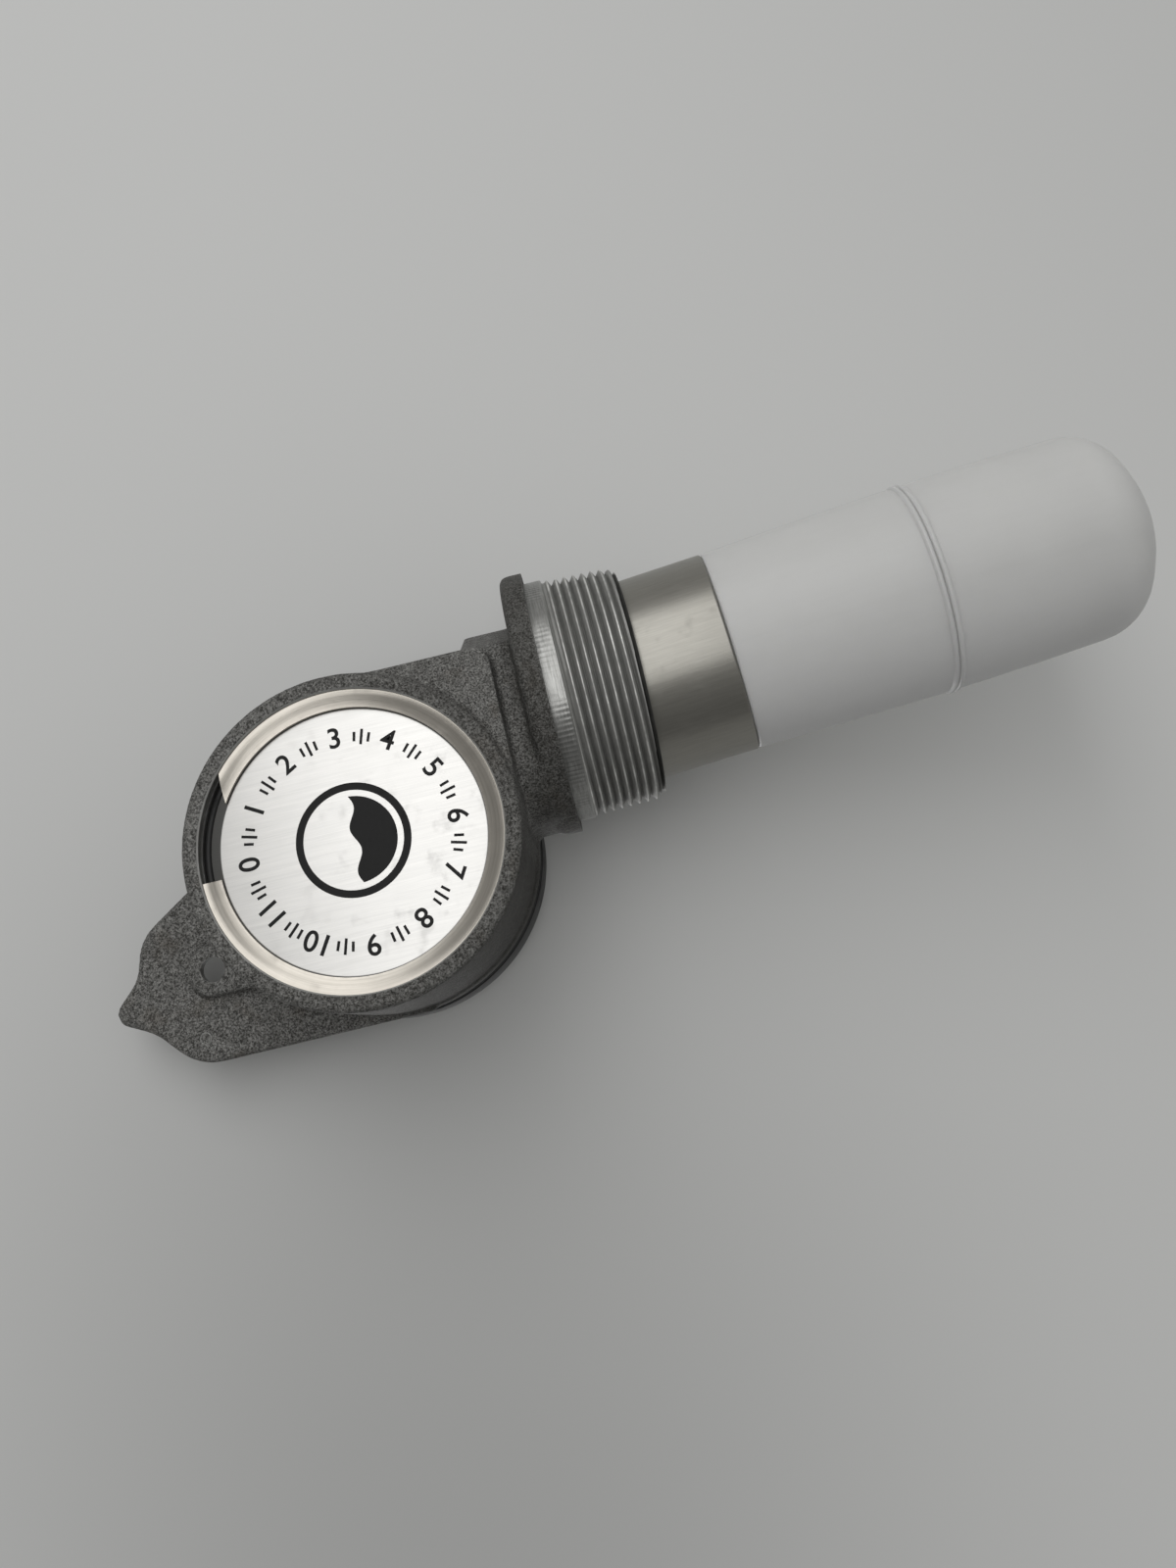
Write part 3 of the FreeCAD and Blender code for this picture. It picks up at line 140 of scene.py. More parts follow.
class Wiring:
    """Short words for adding and joining the nodes of one tree."""

    def __init__(self, tree):
        self.tree = tree

    def add(self, kind, **values):
        node = self.tree.nodes.new("ShaderNode" + kind)
        for name, value in values.items():
            setattr(node, name, value)
        return node

    def feed(self, socket, source):
        if hasattr(source, "links"):
            self.tree.links.new(source, socket)
        else:
            socket.default_value = source

    def calc(self, operation, first, second=0.0):
        node = self.add("Math", operation=operation)
        self.feed(node.inputs[0], first)
        self.feed(node.inputs[1], second)
        return node.outputs[0]

    def plus(self, first, second):
        return self.calc("ADD", first, second)

    def minus(self, first, second):
        return self.calc("SUBTRACT", first, second)

    def times(self, first, second):
        return self.calc("MULTIPLY", first, second)

    def dot(self, first, second):
        node = self.add("VectorMath", operation="DOT_PRODUCT")
        self.feed(node.inputs[0], first)
        self.feed(node.inputs[1], second)
        return node.outputs["Value"]

    def noise(self, vector, scale, detail=2.0, roughness=0.5, distortion=0.0):
        node = self.add("TexNoise")
        for name, source in (("Vector", vector), ("Scale", scale), ("Detail", detail),
                             ("Roughness", roughness), ("Distortion", distortion)):
            self.feed(node.inputs[name], source)
        return node.outputs[0]

    def cells(self, vector, scale):
        node = self.add("TexVoronoi")
        self.feed(node.inputs["Vector"], vector)
        self.feed(node.inputs["Scale"], scale)
        return node.outputs["Distance"]

    def ramp(self, value, start, end, first=0.0, last=1.0):
        node = self.add("MapRange", clamp=True)
        for index, source in enumerate((value, start, end, first, last)):
            self.feed(node.inputs[index], source)
        return node.outputs[0]

    def mapped(self, vector, **settings):
        """A vector that is moved, turned or scaled: Location, Rotation, Scale."""
        node = self.add("Mapping", vector_type="POINT")
        self.feed(node.inputs["Vector"], vector)
        for name, value in settings.items():
            node.inputs[name].default_value = value
        return node.outputs[0]

    def parts(self, vector):
        node = self.add("SeparateXYZ")
        self.feed(node.inputs[0], vector)
        return node.outputs

    def radius(self, place):
        """The distance from the Z axis, of a place that is already in parts."""
        squares = self.plus(self.times(place["X"], place["X"]), self.times(place["Y"], place["Y"]))
        return self.calc("SQRT", squares)

    def blend(self, factor, first, second):
        """Mix two colours, given as triples or as sockets."""
        node = self.add("Mix", data_type="RGBA")
        self.feed(node.inputs["Factor"], factor)
        for index, source in ((6, first), (7, second)):
            self.feed(node.inputs[index], source if hasattr(source, "links") else tuple(source) + (1,))
        return node.outputs[2]

    def bump(self, height, distance, strength):
        node = self.add("Bump")
        self.feed(node.inputs["Height"], height)
        node.inputs["Distance"].default_value = distance
        node.inputs["Strength"].default_value = strength
        return node.outputs[0]


def scaled(colour, factor, lift=0.0):
    """A lighter or darker shade of a colour."""
    return tuple(min(1, channel * factor + lift) for channel in colour)


# %% [markdown]
# Light comes from one tall lamp and from a dim room. The lamp faces the gauge from the camera's side,
# some way towards the picture's top and left, with its long side upright in the picture. The room is
# a little brighter towards the picture's top and behind the camera.
# The lamp lies where the brushed label mirrors it, which makes the label the brightest thing in the
# picture, and it draws the highlight along the steel sleeve. A weak lamp behind the table shows the
# dial when the gauge is turned round.

# %% Sky and lamps
SKY_LEVEL = 0.26
SKY_TILT = VIEW_UP * 0.15 + VIEW_BACK * 0.09
SKY_TINT = (1.0, 1.0, 0.985, 1)
VIEW_DISTANCE = 0.29
VIEW_CENTRE = CAMERA_PLACE - VIEW_BACK * VIEW_DISTANCE
KEY_DISTANCE = 1.10
KEY_SIZE = (1.73, 0.64)
KEY_POWER = 6.4
KEY_UP = math.radians(27)
KEY_RIGHT = math.radians(-13)
BACK_PLACE = Vector((-0.20, 0.95, 0.25))
BACK_SIZE = (0.5, 0.5)
BACK_POWER = 1.9

world = bpy.data.worlds.new("room")
bpy.context.scene.world = world
world.use_nodes = True
wire = Wiring(world.node_tree)
room = world.node_tree.nodes["Background"].inputs
room["Color"].default_value = SKY_TINT
direction = wire.add("TexCoord").outputs["Generated"]
wire.feed(room["Strength"], wire.plus(wire.dot(direction, SKY_TILT), SKY_LEVEL))


def lamp(name, place, target, size, power):
    data = bpy.data.lights.new(name, "AREA")
    data.shape = "RECTANGLE"
    data.size, data.size_y = size
    data.energy = power
    item = bpy.data.objects.new(name, data)
    bpy.context.collection.objects.link(item)
    item.location = place
    item.rotation_euler = (target - place).to_track_quat("-Z", "Y").to_euler()
    return item


key_direction = (VIEW_BACK * math.cos(KEY_UP) * math.cos(KEY_RIGHT)
                 + VIEW_UP * math.sin(KEY_UP) * math.cos(KEY_RIGHT)
                 + VIEW_RIGHT * math.sin(KEY_RIGHT))
key = lamp("key_lamp", VIEW_CENTRE + key_direction * KEY_DISTANCE, VIEW_CENTRE, KEY_SIZE, KEY_POWER)
lamp("back_lamp", VIEW_CENTRE + BACK_PLACE, VIEW_CENTRE, BACK_SIZE, BACK_POWER)
print("key lamp's long side against the picture's up:",
      round((key.matrix_basis.to_3x3() @ Vector((1, 0, 0))).dot(VIEW_UP), 2))

# %% [markdown]
# The gauge lies on a pale table. The table is a plane that touches the bezel and the float, and it
# is one-sided: seen from behind it vanishes, so that the dial can be looked at. It takes shadows,
# but it throws none and gives no bounce, because the back of the gauge has to stay lit. Its paint
# drifts a little, and a soft patch of painted shadow darkens it below the housing.

# %% Table
TABLE_NEAR_FLOAT = Vector((0, 33, 3))
TABLE_NEAR_BEZEL = Vector((-28, 21.5, 88))
TABLE_SIDE = 3.2
TABLE_COLOUR = (0.650, 0.653, 0.645)
DRIFT_SCALE = 3.0
DRIFT_LIGHTER = 1.04
SHADOW_PATCH_PLACE = Vector((-0.190, 0.022, 0.070))
SHADOW_PATCH_REACH = Vector((0.125, 0, 0.095))
SHADOW_PATCH_DEPTH = 0.32

slope = TABLE_NEAR_BEZEL - TABLE_NEAR_FLOAT
slope = Vector((0, slope.y, slope.z)).normalized()
table_normal = Vector((1, 0, 0)).cross(slope).normalized()
if table_normal.y > 0:
    table_normal = -table_normal
bpy.ops.mesh.primitive_grid_add(x_subdivisions=8, y_subdivisions=8, size=TABLE_SIDE)
table = bpy.context.object
table.name = "table"
table.matrix_world = (Matrix.Translation(TABLE_NEAR_FLOAT * MM)
                      @ table_normal.to_track_quat("Z", "X").to_matrix().to_4x4())
bpy.ops.object.transform_apply(location=True, rotation=True, scale=True)
table.visible_diffuse = False
table.visible_shadow = False
table.visible_transmission = True

table_paint = bpy.data.materials.new("table_paint")
table_paint.use_nodes = True
nodes = table_paint.node_tree.nodes
paint = nodes["Principled BSDF"]
paint.inputs["Roughness"].default_value = 0.6
paint.inputs["Specular IOR Level"].default_value = 0.25
wire = Wiring(table_paint.node_tree)
here = wire.add("TexCoord").outputs["Object"]
tint = wire.blend(wire.noise(here, DRIFT_SCALE), TABLE_COLOUR, scaled(TABLE_COLOUR, DRIFT_LIGHTER))
# Painted shadow: a soft dark patch in the table's paint below the housing.
centred = wire.mapped(here, Location=(-SHADOW_PATCH_PLACE.x / SHADOW_PATCH_REACH.x, 0, -SHADOW_PATCH_PLACE.z / SHADOW_PATCH_REACH.z),
                      Scale=(1 / SHADOW_PATCH_REACH.x, 0, 1 / SHADOW_PATCH_REACH.z))
patch = wire.calc("EXPONENT", wire.times(wire.dot(centred, centred), -0.5))
wire.feed(paint.inputs["Base Color"], wire.blend(wire.times(patch, SHADOW_PATCH_DEPTH), tint, (0, 0, 0)))
sided = wire.add("MixShader")
wire.feed(sided.inputs["Fac"], wire.add("NewGeometry").outputs["Backfacing"])
wire.feed(sided.inputs[1], paint.outputs[0])
wire.feed(sided.inputs[2], wire.add("BsdfTransparent").outputs[0])
wire.feed(nodes["Material Output"].inputs["Surface"], sided.outputs[0])
table.data.materials.append(table_paint)
print("the table leans", round(math.degrees(math.asin(abs(slope.y))), 1), "degrees against the neck's axis")

# %% [markdown]
# Four surface effects come back in many finishes, so each is a node group: the grain of a casting,
# slow stains, the fine lines that brushing or turning leaves, and the shine of rubbed edges. A group
# gives out only values. The shader, which decides what they mean, stays in each material.

# %% Node groups


def group(name, inputs, outputs):
    """A new node group with its sockets: its wiring, what it is given and what it puts out."""
    tree = bpy.data.node_groups.new(name, "ShaderNodeTree")
    for label, value in inputs:
        kind = "NodeSocketVector" if value is None else "NodeSocketFloat"
        socket = tree.interface.new_socket(name=label, in_out="INPUT", socket_type=kind)
        if value is not None:
            socket.default_value = value
    for label in outputs:
        tree.interface.new_socket(name=label, in_out="OUTPUT", socket_type="NodeSocketFloat")
    return Wiring(tree), tree.nodes.new("NodeGroupInput").outputs, tree.nodes.new("NodeGroupOutput").inputs


def build_cast_grain():
    """Sand-like grain: lumps of one grain's width, finer grit on them and a few sharp pits."""
    wire, given, out = group("cast_grain", [("Vector", None), ("Grain", 2200.0), ("Pits", 0.5)],
                             ["Height", "Tone"])
    lumps = wire.noise(given["Vector"], given["Grain"], detail=3.0, roughness=0.62)
    grit = wire.noise(given["Vector"], wire.times(given["Grain"], 2.7), roughness=0.6)
    cells = wire.cells(given["Vector"], wire.times(given["Grain"], 0.55))
    pit = wire.times(wire.ramp(cells, 0.0, 0.22, 1.0, 0.0), given["Pits"])
    height = wire.plus(wire.times(lumps, 0.7), wire.times(grit, 0.3))
    wire.feed(out["Height"], wire.minus(height, pit))
    tone = wire.ramp(height, 0.41, 0.61)
    wire.feed(out["Tone"], wire.times(tone, wire.ramp(pit, 0.0, 0.5, 1.0, 0.55)))


def build_stains():
    """Slow drifts of tone, with soft blotches of a second kind laid over them."""
    wire, given, out = group("stains", [("Vector", None), ("Size", 60.0), ("Contrast", 0.5)],
                             ["Drift", "Blotch"])
    drift = wire.noise(given["Vector"], given["Size"], detail=4.0, roughness=0.55, distortion=0.4)
    reach = wire.minus(0.5, wire.times(given["Contrast"], 0.5))
    wire.feed(out["Drift"], wire.ramp(drift, wire.minus(0.5, reach), wire.plus(0.5, reach)))
    blotch = wire.noise(wire.mapped(given["Vector"], Location=(0.37, 0.11, 0.53)),
                        wire.times(given["Size"], 2.3), detail=5.0, roughness=0.6)
    wire.feed(out["Blotch"], wire.ramp(blotch, 0.56, 0.70))


def build_fine_lines():
    """Long thin scratches: a noise squeezed across one direction by the vector that is given."""
    wire, given, out = group("fine_lines", [("Vector", None), ("Count", 900.0)], ["Height", "Tone"])
    broad = wire.noise(given["Vector"], given["Count"], detail=3.0, roughness=0.7)
    thin = wire.noise(given["Vector"], wire.times(given["Count"], 3.1), roughness=0.6)
    height = wire.plus(wire.times(broad, 0.6), wire.times(thin, 0.4))
    wire.feed(out["Height"], height)
    wire.feed(out["Tone"], wire.ramp(height, 0.3, 0.7))


def build_rubbed_edge():
    """Where handling has polished an edge: the mesh's own sharpness, broken up by a noise."""
    wire, given, out = group("rubbed_edge", [("Vector", None), ("Start", 0.52), ("End", 0.60)],
                             ["Mask"])
    sharpness = wire.add("NewGeometry").outputs["Pointiness"]
    uneven = wire.noise(given["Vector"], 700.0, detail=3.0, roughness=0.6)
    edge = wire.ramp(sharpness, given["Start"], given["End"])
    wire.feed(out["Mask"], wire.times(edge, wire.ramp(uneven, 0.35, 0.65)))


build_cast_grain()
build_stains()
build_fine_lines()
build_rubbed_edge()
print("node groups:", [tree.name for tree in bpy.data.node_groups])

# %% [markdown]
# A material starts the same way each time: a new Principled shader, the wiring of its tree, and the
# place on the piece as Object coordinates, which stay with the piece when it moves.

# %% Starting a material


def use(wire, name, vector, **values):
    """Place a node group in a material and return its outputs."""
    node = wire.add("Group", node_tree=bpy.data.node_groups[name])
    wire.feed(node.inputs["Vector"], vector)
    for label, value in values.items():
        wire.feed(node.inputs[label], value)
    return node.outputs


def finish(name, metallic=0.0, roughness=0.5, **sockets):
    """A new material: its wiring, its shader and its object coordinates."""
    material = bpy.data.materials.new(name)
    material.use_nodes = True
    shader = material.node_tree.nodes["Principled BSDF"]
    shader.inputs["Metallic"].default_value = metallic
    shader.inputs["Roughness"].default_value = roughness
    for label, value in sockets.items():
        shader.inputs[label.replace("_", " ")].default_value = value
    wire = Wiring(material.node_tree)
    return material, wire, shader.inputs, wire.add("TexCoord").outputs["Object"]


# %% [markdown]
# The casting's skin is dark: the die leaves a fine sandy grain, and a chemical bath turned it grey
# with a brown cast. Two tones mixed by the grain give it its sparkle. A mottle of about two
# millimetres darkens and lightens it, brown stains break it up over centimetres, and rubbed edges
# come out lighter. Painted shade darkens the housing's low side, the flange and, weaker, the rim:
# masks made from the place on the piece say where.

# %% Finish of the casting
CAST_DARK = (0.036, 0.035, 0.032)
CAST_LIGHT = (0.335, 0.331, 0.317)
CAST_BROWN = (0.088, 0.074, 0.058)
CAST_RUBBED = (0.27, 0.27, 0.26)
PAINTED_SHADE_COLOUR = (0.010, 0.0085, 0.005)
MOTTLE = 620.0
RIM_SKIN = 1.2
RIM_DARK = 0.25
RIM_SPAN = (-0.036, 0.012)
SIDE_DARK = 0.68
SIDE_ACROSS = (-0.002, -0.012)
SIDE_ALONG = (0.010, -0.006)
FLANGE_DARK = 0.44
FLANGE_SPAN = (0.0105, 0.0065)
SHADE_TOWARDS = (-0.35, -0.94)


def old_stain(wire, here):
    """How dark the painted shade is: on the rim towards the neck, on the low side and on the flange."""
    place = wire.parts(here)
    along_x = wire.minus(place["X"], HOUSING.x * MM)
    along_z = wire.minus(place["Z"], HOUSING.z * MM)
    towards = wire.plus(wire.times(along_x, SHADE_TOWARDS[0]), wire.times(along_z, SHADE_TOWARDS[1]))
    face = wire.ramp(place["Y"], (RIM_FRONT + RIM_SKIN) * MM, (RIM_FRONT + RIM_SKIN * 0.5) * MM)
    rim = wire.times(face, wire.ramp(towards, *RIM_SPAN, 0.0, RIM_DARK))
    side = wire.times(wire.ramp(along_x, *SIDE_ACROSS, 0.0, SIDE_DARK), wire.ramp(along_z, *SIDE_ALONG))
    side = wire.times(side, wire.minus(1.0, face))
    flange = wire.ramp(place["Z"], *FLANGE_SPAN, 0.0, FLANGE_DARK)
    return wire.calc("MAXIMUM", rim, wire.calc("MAXIMUM", side, flange))


def cast_finish():
    material, wire, skin, here = finish("cast_skin", metallic=0.4, roughness=0.6, Specular_IOR_Level=0.25)
    grain = use(wire, "cast_grain", here, Grain=2300.0, Pits=0.35)
    stain = use(wire, "stains", here, Size=42.0, Contrast=0.45)
    colour = wire.blend(grain["Tone"], CAST_DARK, CAST_LIGHT)
    brown = wire.blend(grain["Tone"], scaled(CAST_BROWN, 0.55), scaled(CAST_BROWN, 1.7))
    colour = wire.blend(wire.times(stain["Blotch"], 0.45), colour, brown)
    mottle = wire.noise(here, MOTTLE, detail=3.0, roughness=0.7)
    colour = wire.blend(wire.ramp(mottle, 0.62, 0.38, 0.0, 0.42), colour, CAST_DARK)
    colour = wire.blend(wire.ramp(mottle, 0.56, 0.68, 0.0, 0.25), colour, CAST_RUBBED)
    # Painted shade: the housing's low side, the flange and the rim towards the neck are darkened here.
    colour = wire.blend(old_stain(wire, here), colour, PAINTED_SHADE_COLOUR)
    rubbed = use(wire, "rubbed_edge", here, Start=0.515, End=0.58)
    colour = wire.blend(wire.times(rubbed["Mask"], 0.55), colour, CAST_RUBBED)
    wire.feed(skin["Base Color"], colour)
    wire.feed(skin["Roughness"], wire.ramp(stain["Drift"], 0.0, 1.0, 0.52, 0.68))
    height = wire.plus(grain["Height"], wire.times(mottle, 0.8))
    wire.feed(skin["Normal"], wire.bump(height, distance=0.00035, strength=0.8))
    return material


cast_skin = cast_finish()
print("casting's skin:", len(cast_skin.node_tree.nodes), "nodes")

# %% [markdown]
# Where a tool has cut the casting the metal is bright. Turning leaves fine rings about the axis, and
# the plain band above the thread also has ticks along the axis, where the tool chattered. Both are
# functions of the place on the piece: the rings of the height, the ticks of the angle.

# %% Finish of the cut metal
CHATTER_TICKS = 150
TURNED_LINES = {"Z": (0.06, 0.06, 1.0), "Y": (0.06, 1.0, 0.06)}
LINE_COUNT = 2600.0


def cut_finish(name, light, dark, chatter=False, axis="Z"):
    material, wire, skin, here = finish(name, metallic=0.88, roughness=0.36)
    lines = use(wire, "fine_lines", wire.mapped(here, Scale=TURNED_LINES[axis]), Count=LINE_COUNT)
    stain = use(wire, "stains", here, Size=150.0, Contrast=0.6)
    colour = wire.blend(lines["Tone"], dark, light)
    colour = wire.blend(wire.times(stain["Drift"], 0.35), colour, scaled(dark, 0.55))
    rubbed = use(wire, "rubbed_edge", here, Start=0.53, End=0.62)
    colour = wire.blend(wire.times(rubbed["Mask"], 0.7), colour, scaled(light, 1.35))
    height = lines["Height"]
    if chatter:
        place = wire.parts(here)
        angle = wire.calc("ARCTAN2", place["X"], place["Y"])
        wave = wire.calc("SINE", wire.times(angle, CHATTER_TICKS))
        band = wire.times(wire.ramp(place["Z"], -PILOT_LENGTH * MM, -PILOT_LENGTH * 0.8 * MM),
                         wire.ramp(wire.noise(here, 60.0), 0.38, 0.6))
        ticks = wire.times(wave, band)
        height = wire.plus(height, wire.times(ticks, 0.9))
        colour = wire.blend(wire.times(wire.ramp(ticks, 0.1, 1.0), 0.6), colour, (0.08, 0.08, 0.075))
    wire.feed(skin["Base Color"], colour)
    wire.feed(skin["Roughness"], wire.ramp(stain["Blotch"], 0.0, 1.0, 0.34, 0.5))
    wire.feed(skin["Normal"], wire.bump(height, distance=0.00008, strength=0.6))
    return material


cut_aluminium = cut_finish("cut_aluminium", light=(0.48, 0.48, 0.465), dark=(0.22, 0.22, 0.21), chatter=True)
cut_cover = cut_finish("cut_cover", light=(0.62, 0.62, 0.60), dark=(0.40, 0.40, 0.39), axis="Y")
print("cut metal:", cut_aluminium.name, cut_cover.name)

# %% [markdown]
# The thread is duller than the band, with a painted highlight on its crests and painted shade in its
# roots, so its finish needs to know how deep a point lies below the crests. That depth is the radius
# of the crests, which shrinks with the taper, less the radius of the point itself.

# %% Finish of the thread
CREST = 30.1
TAPER = 1 / 32
ROOT_SHADE = (0.0008, 0.0015)
CREST_HIGHLIGHT = (0.0003, 0.0001)


def thread_finish():
    material, wire, skin, here = finish("cut_thread", metallic=0.55, roughness=0.5)
    place = wire.parts(here)
    crest = wire.plus(CREST * MM, wire.times(place["Z"], TAPER))
    depth = wire.minus(crest, wire.radius(place))
    lines = use(wire, "fine_lines", wire.mapped(here, Scale=TURNED_LINES["Z"]), Count=LINE_COUNT)
    patch = wire.noise(here, 160.0, detail=3.0, roughness=0.6)
    flank = wire.blend(lines["Tone"], (0.20, 0.20, 0.19), (0.40, 0.40, 0.385))
    # Painted shade darkens the thread's roots, and a painted highlight lightens its crests.
    flank = wire.blend(wire.times(wire.ramp(depth, *ROOT_SHADE), 0.5), flank, (0.09, 0.09, 0.085))
    rubbed = wire.times(wire.ramp(depth, *CREST_HIGHLIGHT), wire.ramp(patch, 0.35, 0.65, 0.2, 1.0))
    wire.feed(skin["Base Color"], wire.blend(rubbed, flank, (0.80, 0.80, 0.77)))
    wire.feed(skin["Roughness"], wire.ramp(rubbed, 0.0, 1.0, 0.52, 0.3))
    wire.feed(skin["Normal"], wire.bump(lines["Height"], distance=0.00010, strength=0.6))
    return material


cut_thread = thread_finish()
print("crests at the thread's mouth:", round(CREST - NIPPLE_LENGTH * TAPER, 2), "mm from the axis")

# %% [markdown]
# Shapes are drawn as closed outlines, and an outline may ask for round corners. A corner written
# as (x, y, radius) becomes an arc that touches both its sides, with a point every twelve degrees.

# %% Outlines with round corners
ARC_STEP = math.radians(12)


def rounded(corners):
    """Points of a closed outline whose corners are (x, y) or (x, y, radius)."""
    points = []
    count = len(corners)
    for index, corner in enumerate(corners):
        here = Vector(corner[:2])
        if len(corner) == 2:
            points.append(here)
            continue
        before = Vector(corners[index - 1][:2])
        after = Vector(corners[(index + 1) % count][:2])
        into = (here - before).normalized()
        away = (after - here).normalized()
        turn = math.atan2(into.x * away.y - into.y * away.x, into.dot(away))
        start = here - into * corner[2] * math.tan(abs(turn) / 2)
        side = math.copysign(1, turn)
        centre = start + Vector((-into.y, into.x)) * corner[2] * side
        steps = max(2, math.ceil(abs(turn) / ARC_STEP))
        for step in range(steps + 1):
            spoke = Matrix.Rotation(turn * step / steps, 2) @ (start - centre)
            points.append(centre + spoke)
    return points


print("a square with one round corner has", len(rounded([(0, 0), (1, 0), (1, 1, 0.5), (0, 1)])), "points")

# %% [markdown]
# An operator acts on all that is selected, so each of these small tools first selects the one piece
# that it works on. They open a piece for editing, push a face, apply a modifier, and clean a mesh.

# %% Tools for editing
MERGE = 0.000001


def select_only(piece):
    bpy.ops.object.select_all(action="DESELECT")
    piece.select_set(True)
    bpy.context.view_layer.objects.active = piece


def edit(piece):
    select_only(piece)
    bpy.ops.object.mode_set(mode="EDIT")
    bpy.ops.mesh.select_all(action="SELECT")


def leave():
    bpy.ops.object.mode_set(mode="OBJECT")


def push(piece, depth):
    """Extrude a flat face along Y."""
    edit(piece)
    bpy.ops.mesh.extrude_region_move(TRANSFORM_OT_translate={"value": (0, depth * MM, 0)})
    leave()


def apply(piece, modifier):
    select_only(piece)
    bpy.ops.object.modifier_apply(modifier=modifier.name)


def tidy_mesh(piece, smooth=30):
    """Merge doubles, drop loose edges, turn all faces outwards and shade by angle."""
    edit(piece)
    bpy.ops.mesh.remove_doubles(threshold=MERGE)
    bpy.ops.mesh.delete_loose()
    bpy.ops.mesh.select_all(action="SELECT")
    bpy.ops.mesh.normals_make_consistent(inside=False)
    leave()
    bpy.ops.object.shade_smooth_by_angle(angle=math.radians(smooth))
    return piece


# %% [markdown]
# A lathe shape is drawn once as an outline in the plane of its axis. The start is a circle with one
# vertex for each corner of the outline: every vertex is moved to its corner, and the ring is spun
# about the axis. A slab starts the same way, as a filled circle whose face is pushed along Y.

# %% Tools for turned and cut-out shapes


def ring_of_corners(name, corners, fill="NOTHING"):
    """A flat ring in the XZ plane with a vertex at each corner, given in millimetres."""
    bpy.ops.mesh.primitive_circle_add(vertices=len(corners), radius=1, fill_type=fill)
    piece = bpy.context.object
    piece.name = name
    for vertex, corner in zip(piece.data.vertices, corners):
        vertex.co = (corner[0] * MM, 0, corner[1] * MM)
    return piece


def turned(name, corners, steps=192, smooth=30):
    """Spin an outline of (radius, height) corners about Z."""
    piece = ring_of_corners(name, rounded(corners))
    edit(piece)
    bpy.ops.mesh.spin(steps=steps, angle=math.tau, center=(0, 0, 0), axis=(0, 0, 1))
    leave()
    return tidy_mesh(piece, smooth)


def settle(piece, matrix):
    """Put a piece in its place and let its mesh keep it."""
    piece.matrix_world = matrix
    select_only(piece)
    bpy.ops.object.transform_apply(location=True, rotation=True, scale=True)
    return piece


TIPPED = Matrix.Rotation(math.radians(-90), 4, "X")
ON_HOUSING = Matrix.Translation(HOUSING * MM) @ TIPPED


def turned_on_housing(name, corners, steps=256, smooth=30):
    """Spin an outline of (radius, depth) corners about the housing's axis."""
    return settle(turned(name, corners, steps, smooth), ON_HOUSING)


def cut_out(name, corners, start, end, centre=(0, 0)):
    """A slab with an outline in the XZ plane, from one depth to another."""
    points = [(x + centre[0], z + centre[1]) for x, z in rounded(corners)]
    piece = ring_of_corners(name, points, "NGON")
    push(piece, end - start)
    settle(piece, Matrix.Translation((0, start * MM, 0)))
    return tidy_mesh(piece)


print("turned shapes stand on the housing at", tuple(round(c, 4) for c in ON_HOUSING.translation))

# %% [markdown]
# Pieces that are finished alone are put together in one of two ways: joined as they are, into one
# object, or combined as solids by a boolean, which can add the second solid or cut it away.

# %% Tools for putting pieces together


def join(pieces, name):
    bpy.ops.object.select_all(action="DESELECT")
    for piece in pieces:
        piece.select_set(True)
    bpy.context.view_layer.objects.active = pieces[0]
    bpy.ops.object.join()
    pieces[0].name = name
    return pieces[0]


def combine(piece, other, operation):
    """Boolean a second closed mesh into a piece. Its faces keep their own finish."""
    step = piece.modifiers.new("combine", "BOOLEAN")
    step.operation = operation
    step.object = other
    step.solver = "EXACT"
    step.material_mode = "TRANSFER"
    apply(piece, step)
    bpy.data.objects.remove(other)
    return piece


def dress(piece, material):
    piece.data.materials.clear()
    piece.data.materials.append(material)
    return piece


def report(label, *pieces):
    """Print how many triangles some pieces have."""
    print(label, sum(len(face.vertices) - 2 for piece in pieces for face in piece.data.polygons), "triangles")


# %% [markdown]
# The ear is a flat plate with a pointed top. A long rounded pad stands proud about its hole, with a
# shallow moat round the pad, and the hole's back is sunk in a round recess. The plate, the pad and
# the two hollows are slabs cut from outlines, and booleans put them together.

# %% Ear of the casting
EAR_FRONT = 2.0
EAR_THICKNESS = 3.2
PAD_REACH = 6.5
PAD_HEIGHT = 1.8
MOAT_REACH = 8.0
MOAT_DEPTH = 0.8
RECESS_RADIUS = 5
RECESS_STEPS = 48
HOLE_WALL = 2.2
HOLE = Vector((-17.1, 46.0))
axis = (HOUSING.x, HOUSING.z)


def pad_outline(reach):
    """The long rounded pad about the ear's hole, which runs into the housing."""
    return [(HOLE.x - reach, HOLE.y - 18), (HOLE.x + reach, HOLE.y - 18),
            (HOLE.x + reach, HOLE.y + reach, reach - 0.2), (HOLE.x - reach, HOLE.y + reach, reach - 0.2)]


